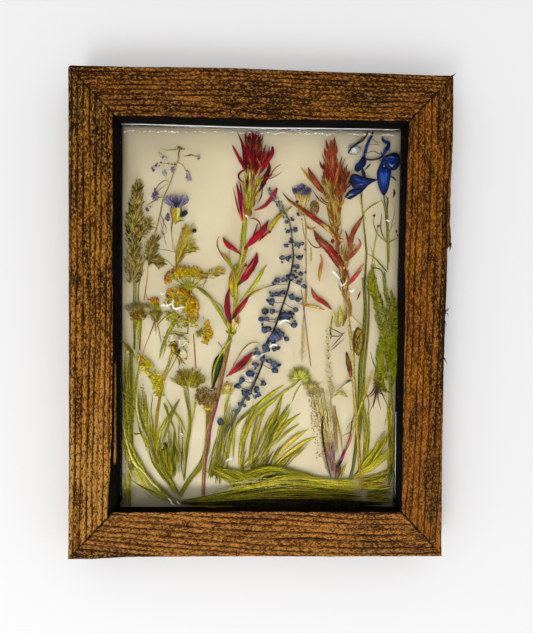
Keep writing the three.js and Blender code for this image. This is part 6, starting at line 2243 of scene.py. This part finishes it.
def grow_painted_glints():
    """Painted glints in the resin: white lines and dots for its highlights, a dark edge and a bluish
    reflection.
    """
    glints = Sprig(77)
    for route, width, names, height in GLINT_LINES:
        glints.blade(route, (width * 0.7, width, width * 0.7), names, height, 0.4, edge=names.split()[-1],
                    step=1.0, mottle=0.05)
    for _ in range(GLINT_DOTS):
        x = glints.random.choice([glints.random.uniform(*reach) for reach in GLINT_DOT_REACHES])
        across = glints.random.uniform(0.35, 1.5) ** 2
        drop = 131.2 + (x - 124) * 0.0145 + 0.5 * math.sin(x * 0.37) + glints.random.normal() * 0.35
        glints.blob((x, drop), (min(across, 1.7), glints.random.uniform(0.4, 0.75), 0.4), "glint glint", 4.8,
                   rim=1.0)
    obj = glints.finish("painted_glints", 0.15, veined=0.0, rich=1.0)
    obj.data.materials[0].node_tree.nodes["Principled BSDF"].inputs["Specular IOR Level"].default_value = 1.0
    return obj


def grow_rail_splinters():
    """Torn fibres standing off the right rail's outer edge and its top corner."""
    sprig = Sprig(457)
    strokes(sprig, [
        ("444.6,312 447.4,310.6 450,306.4", (0.9, 0.5, 0.1), "root ink", 12),
        ("445,311 447.4,309 447,306", (0.8, 0.4, 0.1), "root ink", 12.4),
        ("444.6,312.6 447.4,313.6 448.6,317", (0.8, 0.4, 0.1), "root bark", 12),
        ("444,358 445.8,361.6 447.2,364.4", (1.2, 0.7, 0.1), "root bark", 14),
        ("451.6,76 453.8,75.2 456,73.2", (1.4, 0.8, 0.1), "umber bark", 17.6),
        ("450.6,243 450.4,247 449.6,250.6", (1.6, 1.2, 0.2), "ink root", 17),
        ("444.6,320 446,324 445.4,329", (0.6, 0.5, 0.1), "root bark", 15),
    ], thick=0.4)
    obj = sprig.finish("rail_splinters", 0.7)


# ---------------------------------------------------------------- settings
def colour_setting(name, description, default):
    """A colour field for a group of settings."""
    return bpy.props.FloatVectorProperty(name=name, description=description, default=default, subtype="COLOR",
                                         size=3, min=0, max=1)


class WoodSettings(bpy.types.PropertyGroup):
    """The rails' relief, sheen and colours."""
    grain_relief: bpy.props.FloatProperty(name="Grain relief",
                                          description="How far the hard growth lines stand up",
                                          default=0.00016, min=0, max=0.001, subtype="DISTANCE",
                                          unit="LENGTH")
    wax: bpy.props.FloatProperty(name="Wax", description="Sheen of the stained wood", default=0.02, min=0,
                                 max=1, subtype="FACTOR")
    light_fleck: colour_setting("Light fleck", "Bare torn fibres", (0.52, 0.245, 0.045))
    dark_fleck: colour_setting("Dark fleck", "Pits filled with stain", (0.012, 0.005, 0.002))
    paint: colour_setting("Inside paint", "Paint on the inner walls", (0.0030, 0.0022, 0.0016))


class ResinSettings(bpy.types.PropertyGroup):
    """The clear layer's edge and tint."""
    rim_rise: bpy.props.FloatProperty(name="Rim rise", description="How high the resin climbs the walls",
                                      default=0.0005, min=0, max=0.004, subtype="DISTANCE", unit="LENGTH")
    tint: colour_setting("Tint", "Colour the resin takes on with depth", (0.93, 0.90, 0.76))
    depth_of_tint: bpy.props.FloatProperty(name="Depth of tint", description="Absorption for each metre",
                                           default=12.0, min=0, max=100)


class GroundSettings(bpy.types.PropertyGroup):
    """The cream layer's colours."""
    light: colour_setting("Cream", "Main colour of the ground", (0.618, 0.536, 0.356))
    cloud: colour_setting("Clouds", "Its slightly darker clouds", (0.552, 0.468, 0.3))
    # Rim is the colour of the painted shade along the walls and in the top corners.
    rim: colour_setting("Rim", "The grimy edge along the walls", (0.12, 0.085, 0.045))


class PlantSettings(bpy.types.PropertyGroup):
    """What all the dried plants share."""
    vein_strength: bpy.props.FloatProperty(name="Veins",
                                           description="Strength of the veins on leaves and petals",
                                           default=0.5, min=0, max=1, subtype="FACTOR")


class StudioSettings(bpy.types.PropertyGroup):
    """The floor and the lights."""
    floor: colour_setting("Floor", "Colour of the studio floor", (0.81, 0.81, 0.81))
    sky: bpy.props.FloatProperty(name="Soft light", description="Strength of the light from all round",
                                 default=0.92, min=0, max=5)
    key: bpy.props.FloatProperty(name="Key light", description="Power of the large soft light", default=9.5,
                                 min=0, max=200, unit="POWER")
    strips: bpy.props.FloatProperty(name="Strip lights",
                                    description="Power of the strips that the resin reflects",
                                    default=20, min=0, max=100, unit="POWER")


SETTINGS = {"flower_wood": WoodSettings, "flower_resin": ResinSettings, "flower_ground": GroundSettings,
            "flower_plants": PlantSettings, "flower_studio": StudioSettings}


# ---------------------------------------------------------------- stage
FLOOR_HALF = 2.0
FLOOR_DROP = 0.05 * MM
KEY_PLACE, KEY_SIZE = (-0.5, -1.1, 1.3), 0.7
HEAD_STRIP_PLACE, HEAD_STRIP_SIZE = (0.02, -0.57, 0.58), (0.76, 0.06)
SIDE_STRIP_PLACE, SIDE_STRIP_SIZE = (-0.58, -0.27, 0.58), (0.24, 0.08)
FLAG_HALF, FLAG_HEIGHT = (0.62, 0.72), 1.0


def add_light(name, spot, size, power, colour=(1, 1, 1), only_gloss=False):
    """A rectangular light that faces the middle of the frame."""
    light = bpy.data.lights.new(name, "AREA")
    light.shape = "RECTANGLE"
    light.size, light.size_y = size
    light.energy = power
    light.color = colour
    obj = bpy.data.objects.new(name, light)
    obj.location = spot
    obj.rotation_euler = (-Vector(spot)).to_track_quat("-Z", "Y").to_euler()
    if only_gloss:
        obj.visible_diffuse = False
        obj.visible_transmission = False
    bpy.context.scene.collection.objects.link(obj)


def build_flag():
    """A black card over the table, which only reflections see, so that the resin stays clear."""
    material, _, shader = new_material("black_card")
    shader.inputs["Base Color"].default_value = (0.01, 0.01, 0.01, 1)
    shader.inputs["Specular IOR Level"].default_value = 0.0
    half_x, half_y = FLAG_HALF
    verts = [(x * half_x, y * half_y, FLAG_HEIGHT) for x, y in ((-1, -1), (1, -1), (1, 1), (-1, 1))]
    card = make_object("black_card", verts, [[0, 1, 2, 3]], material)
    for way in ("camera", "diffuse", "transmission", "shadow", "volume_scatter"):
        setattr(card, "visible_" + way, False)


def build_camera():
    """The camera that sees the layout sheet."""
    camera = bpy.data.cameras.new("camera")
    camera.lens = FOCAL * SENSOR / SHEET_HIGH
    camera.sensor_width = SENSOR
    camera.clip_start = 0.01
    holder = bpy.data.objects.new("camera", camera)
    holder.location = CAMERA_PLACE
    holder.rotation_euler = CAMERA_TURN
    bpy.context.scene.collection.objects.link(holder)
    bpy.context.scene.camera = holder


def build_floor(settings):
    """The pale floor that the frame lies on."""
    material, tree, shader = new_material("studio_floor")
    spot = node(tree, "ShaderNodeTexCoord").outputs["Object"]
    faint = grains(tree, spot, 3, detail=1)
    darker = tuple(0.985 * c for c in settings.floor)
    tree.links.new(mixed(tree, faint, (*settings.floor, 1), (*darker, 1)), shader.inputs["Base Color"])
    shader.inputs["Roughness"].default_value = 0.9
    shader.inputs["Specular IOR Level"].default_value = 0.1
    corners = [(-1, -1), (1, -1), (1, 1), (-1, 1)]
    verts = [(x * FLOOR_HALF, y * FLOOR_HALF, -FLOOR_DROP) for x, y in corners]
    make_object("studio_floor_sheet", verts, [[0, 1, 2, 3]], material)


def build_lights(settings):
    """Soft light from all round, a key light and the strips that the resin reflects."""
    scene = bpy.context.scene
    world = bpy.data.worlds.new("studio")
    scene.world = world
    world.use_nodes = True
    sky = world.node_tree.nodes["Background"]
    sky.inputs["Color"].default_value = (1, 1, 1, 1)
    sky.inputs["Strength"].default_value = settings.sky
    scene.view_settings.view_transform = "Standard"
    add_light("key_light", KEY_PLACE, (KEY_SIZE, KEY_SIZE), settings.key)
    add_light("head_strip", HEAD_STRIP_PLACE, HEAD_STRIP_SIZE, settings.strips, only_gloss=True)
    add_light("side_strip", SIDE_STRIP_PLACE, SIDE_STRIP_SIZE, settings.strips * 0.2, (0.6, 0.8, 1.0), True)


# ---------------------------------------------------------------- operators
class FLOWER_OT_stage(bpy.types.Operator):
    """Lay the pale floor, set the camera and hang the soft lights"""
    bl_idname = "flower.stage"
    bl_label = "Stage"

    def execute(self, context):
        build_camera()
        build_flag()
        build_floor(context.scene.flower_studio)
        build_lights(context.scene.flower_studio)
        return {"FINISHED"}


class FLOWER_OT_rails(bpy.types.Operator):
    """Cut the four mitred rails with their growth lines, worn edges and splinters"""
    bl_idname = "flower.rails"
    bl_label = "Mitred rails"

    def execute(self, context):
        for name, spec in RAILS.items():
            build_rail(name, spec, context.scene.flower_wood)
        grow_rail_splinters()
        return {"FINISHED"}


class FLOWER_OT_back(bpy.types.Operator):
    """Finish the plywood backing board and the steel brads that hold it"""
    bl_idname = "flower.back"
    bl_label = "Backing board and brads"

    def execute(self, context):
        refinish(["backing_board"], plywood_material())
        refinish([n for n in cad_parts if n.startswith("board_brad")], brad_material())
        return {"FINISHED"}


class FLOWER_OT_ground(bpy.types.Operator):
    """Cast the opaque cream ground under the flowers"""
    bl_idname = "flower.ground"
    bl_label = "Cream ground"

    def execute(self, context):
        build_ground(context.scene.flower_ground)
        return {"FINISHED"}


class FLOWER_OT_resin(bpy.types.Operator):
    """Pour the clear resin, with its raised rim, ridges and small bubbles, and lay its painted glints"""
    bl_idname = "flower.resin"
    bl_label = "Clear resin"

    def execute(self, context):
        build_resin(context.scene.flower_resin)
        grow_painted_glints()
        return {"FINISHED"}


class FLOWER_OT_grasses(bpy.types.Operator):
    """Lay the grass heads, edge leaves and loose greenery"""
    bl_idname = "flower.grasses"
    bl_label = "Grasses and greenery"

    def execute(self, context):
        for grow in (grow_grass_heads, grow_edge_leaves, grow_left_greenery, grow_centre_blades,
                     grow_right_grasses, grow_bottom_sheaf):
            grow()
        return {"FINISHED"}


class FLOWER_OT_purple_blossoms(bpy.types.Operator):
    """Lay the mauve panicle, the brush flower and the small blue heads"""
    bl_idname = "flower.purple_blossoms"
    bl_label = "Purple blossoms"

    def execute(self, context):
        for grow in (grow_mauve_panicle, grow_brush_flower, grow_small_blue_heads):
            grow()
        return {"FINISHED"}


class FLOWER_OT_yellow_heads(bpy.types.Operator):
    """Lay the yellow umbels and the soft yellow and brown heads"""
    bl_idname = "flower.yellow_heads"
    bl_label = "Yellow heads"

    def execute(self, context):
        for grow in (grow_soft_tufts, grow_yellow_umbels, grow_small_yellow_flowers, grow_yellow_tuft_heads):
            grow()
        return {"FINISHED"}


class FLOWER_OT_pale_heads(bpy.types.Operator):
    """Lay the cream seed heads and the white everlastings"""
    bl_idname = "flower.pale_heads"
    bl_label = "Seed heads and everlastings"

    def execute(self, context):
        grow_cream_seed_heads()
        grow_white_everlastings()
        return {"FINISHED"}


class FLOWER_OT_paintbrushes(bpy.types.Operator):
    """Lay the crimson and the brick-red paintbrush flowers"""
    bl_idname = "flower.paintbrushes"
    bl_label = "Paintbrush flowers"

    def execute(self, context):
        grow_crimson_paintbrush()
        grow_brick_paintbrush()
        return {"FINISHED"}


class FLOWER_OT_blue_spikes(bpy.types.Operator):
    """Lay the blue lupine and the larkspur"""
    bl_idname = "flower.blue_spikes"
    bl_label = "Lupine and larkspur"

    def execute(self, context):
        grow_blue_lupine()
        grow_blue_larkspur()
        return {"FINISHED"}


class FLOWER_OT_right_stems(bpy.types.Operator):
    """Lay the feathery frond, the thick stems and the pale dotted spikes"""
    bl_idname = "flower.right_stems"
    bl_label = "Frond and stems"

    def execute(self, context):
        for grow in (grow_feathery_frond, grow_green_stems, grow_pale_centre_right):
            grow()
        return {"FINISHED"}


STEPS = (FLOWER_OT_stage, FLOWER_OT_rails, FLOWER_OT_back, FLOWER_OT_ground, FLOWER_OT_resin,
         FLOWER_OT_grasses,
         FLOWER_OT_purple_blossoms, FLOWER_OT_yellow_heads, FLOWER_OT_pale_heads, FLOWER_OT_paintbrushes,
         FLOWER_OT_blue_spikes, FLOWER_OT_right_stems)


class FLOWER_PT_panel(bpy.types.Panel):
    """All the settings, and a button for each step."""
    bl_idname = "FLOWER_PT_panel"
    bl_label = "Flower Frame"
    bl_space_type = "VIEW_3D"
    bl_region_type = "UI"
    bl_category = "Flower Frame"

    def draw(self, context):
        for name, group in SETTINGS.items():
            box = self.layout.box()
            for field in group.__annotations__:
                box.prop(getattr(context.scene, name), field)
        for step in STEPS:
            self.layout.operator(step.bl_idname)


def register():
    """Adds the settings, the steps and the panel."""
    for group in SETTINGS.values():
        bpy.utils.register_class(group)
    for step in STEPS:
        bpy.utils.register_class(step)
    bpy.utils.register_class(FLOWER_PT_panel)
    for name, group in SETTINGS.items():
        setattr(bpy.types.Scene, name, bpy.props.PointerProperty(type=group))


def unregister():
    """Takes the panel, the steps and the settings away again."""
    for name in SETTINGS:
        delattr(bpy.types.Scene, name)
    bpy.utils.unregister_class(FLOWER_PT_panel)
    for step in reversed(STEPS):
        bpy.utils.unregister_class(step)
    for group in SETTINGS.values():
        bpy.utils.unregister_class(group)


def main():
    """Runs every step in turn."""
    register()
    for step in STEPS:
        family, name = step.bl_idname.split(".")
        getattr(getattr(bpy.ops, family), name)()


if __name__ == "__main__":
    main()
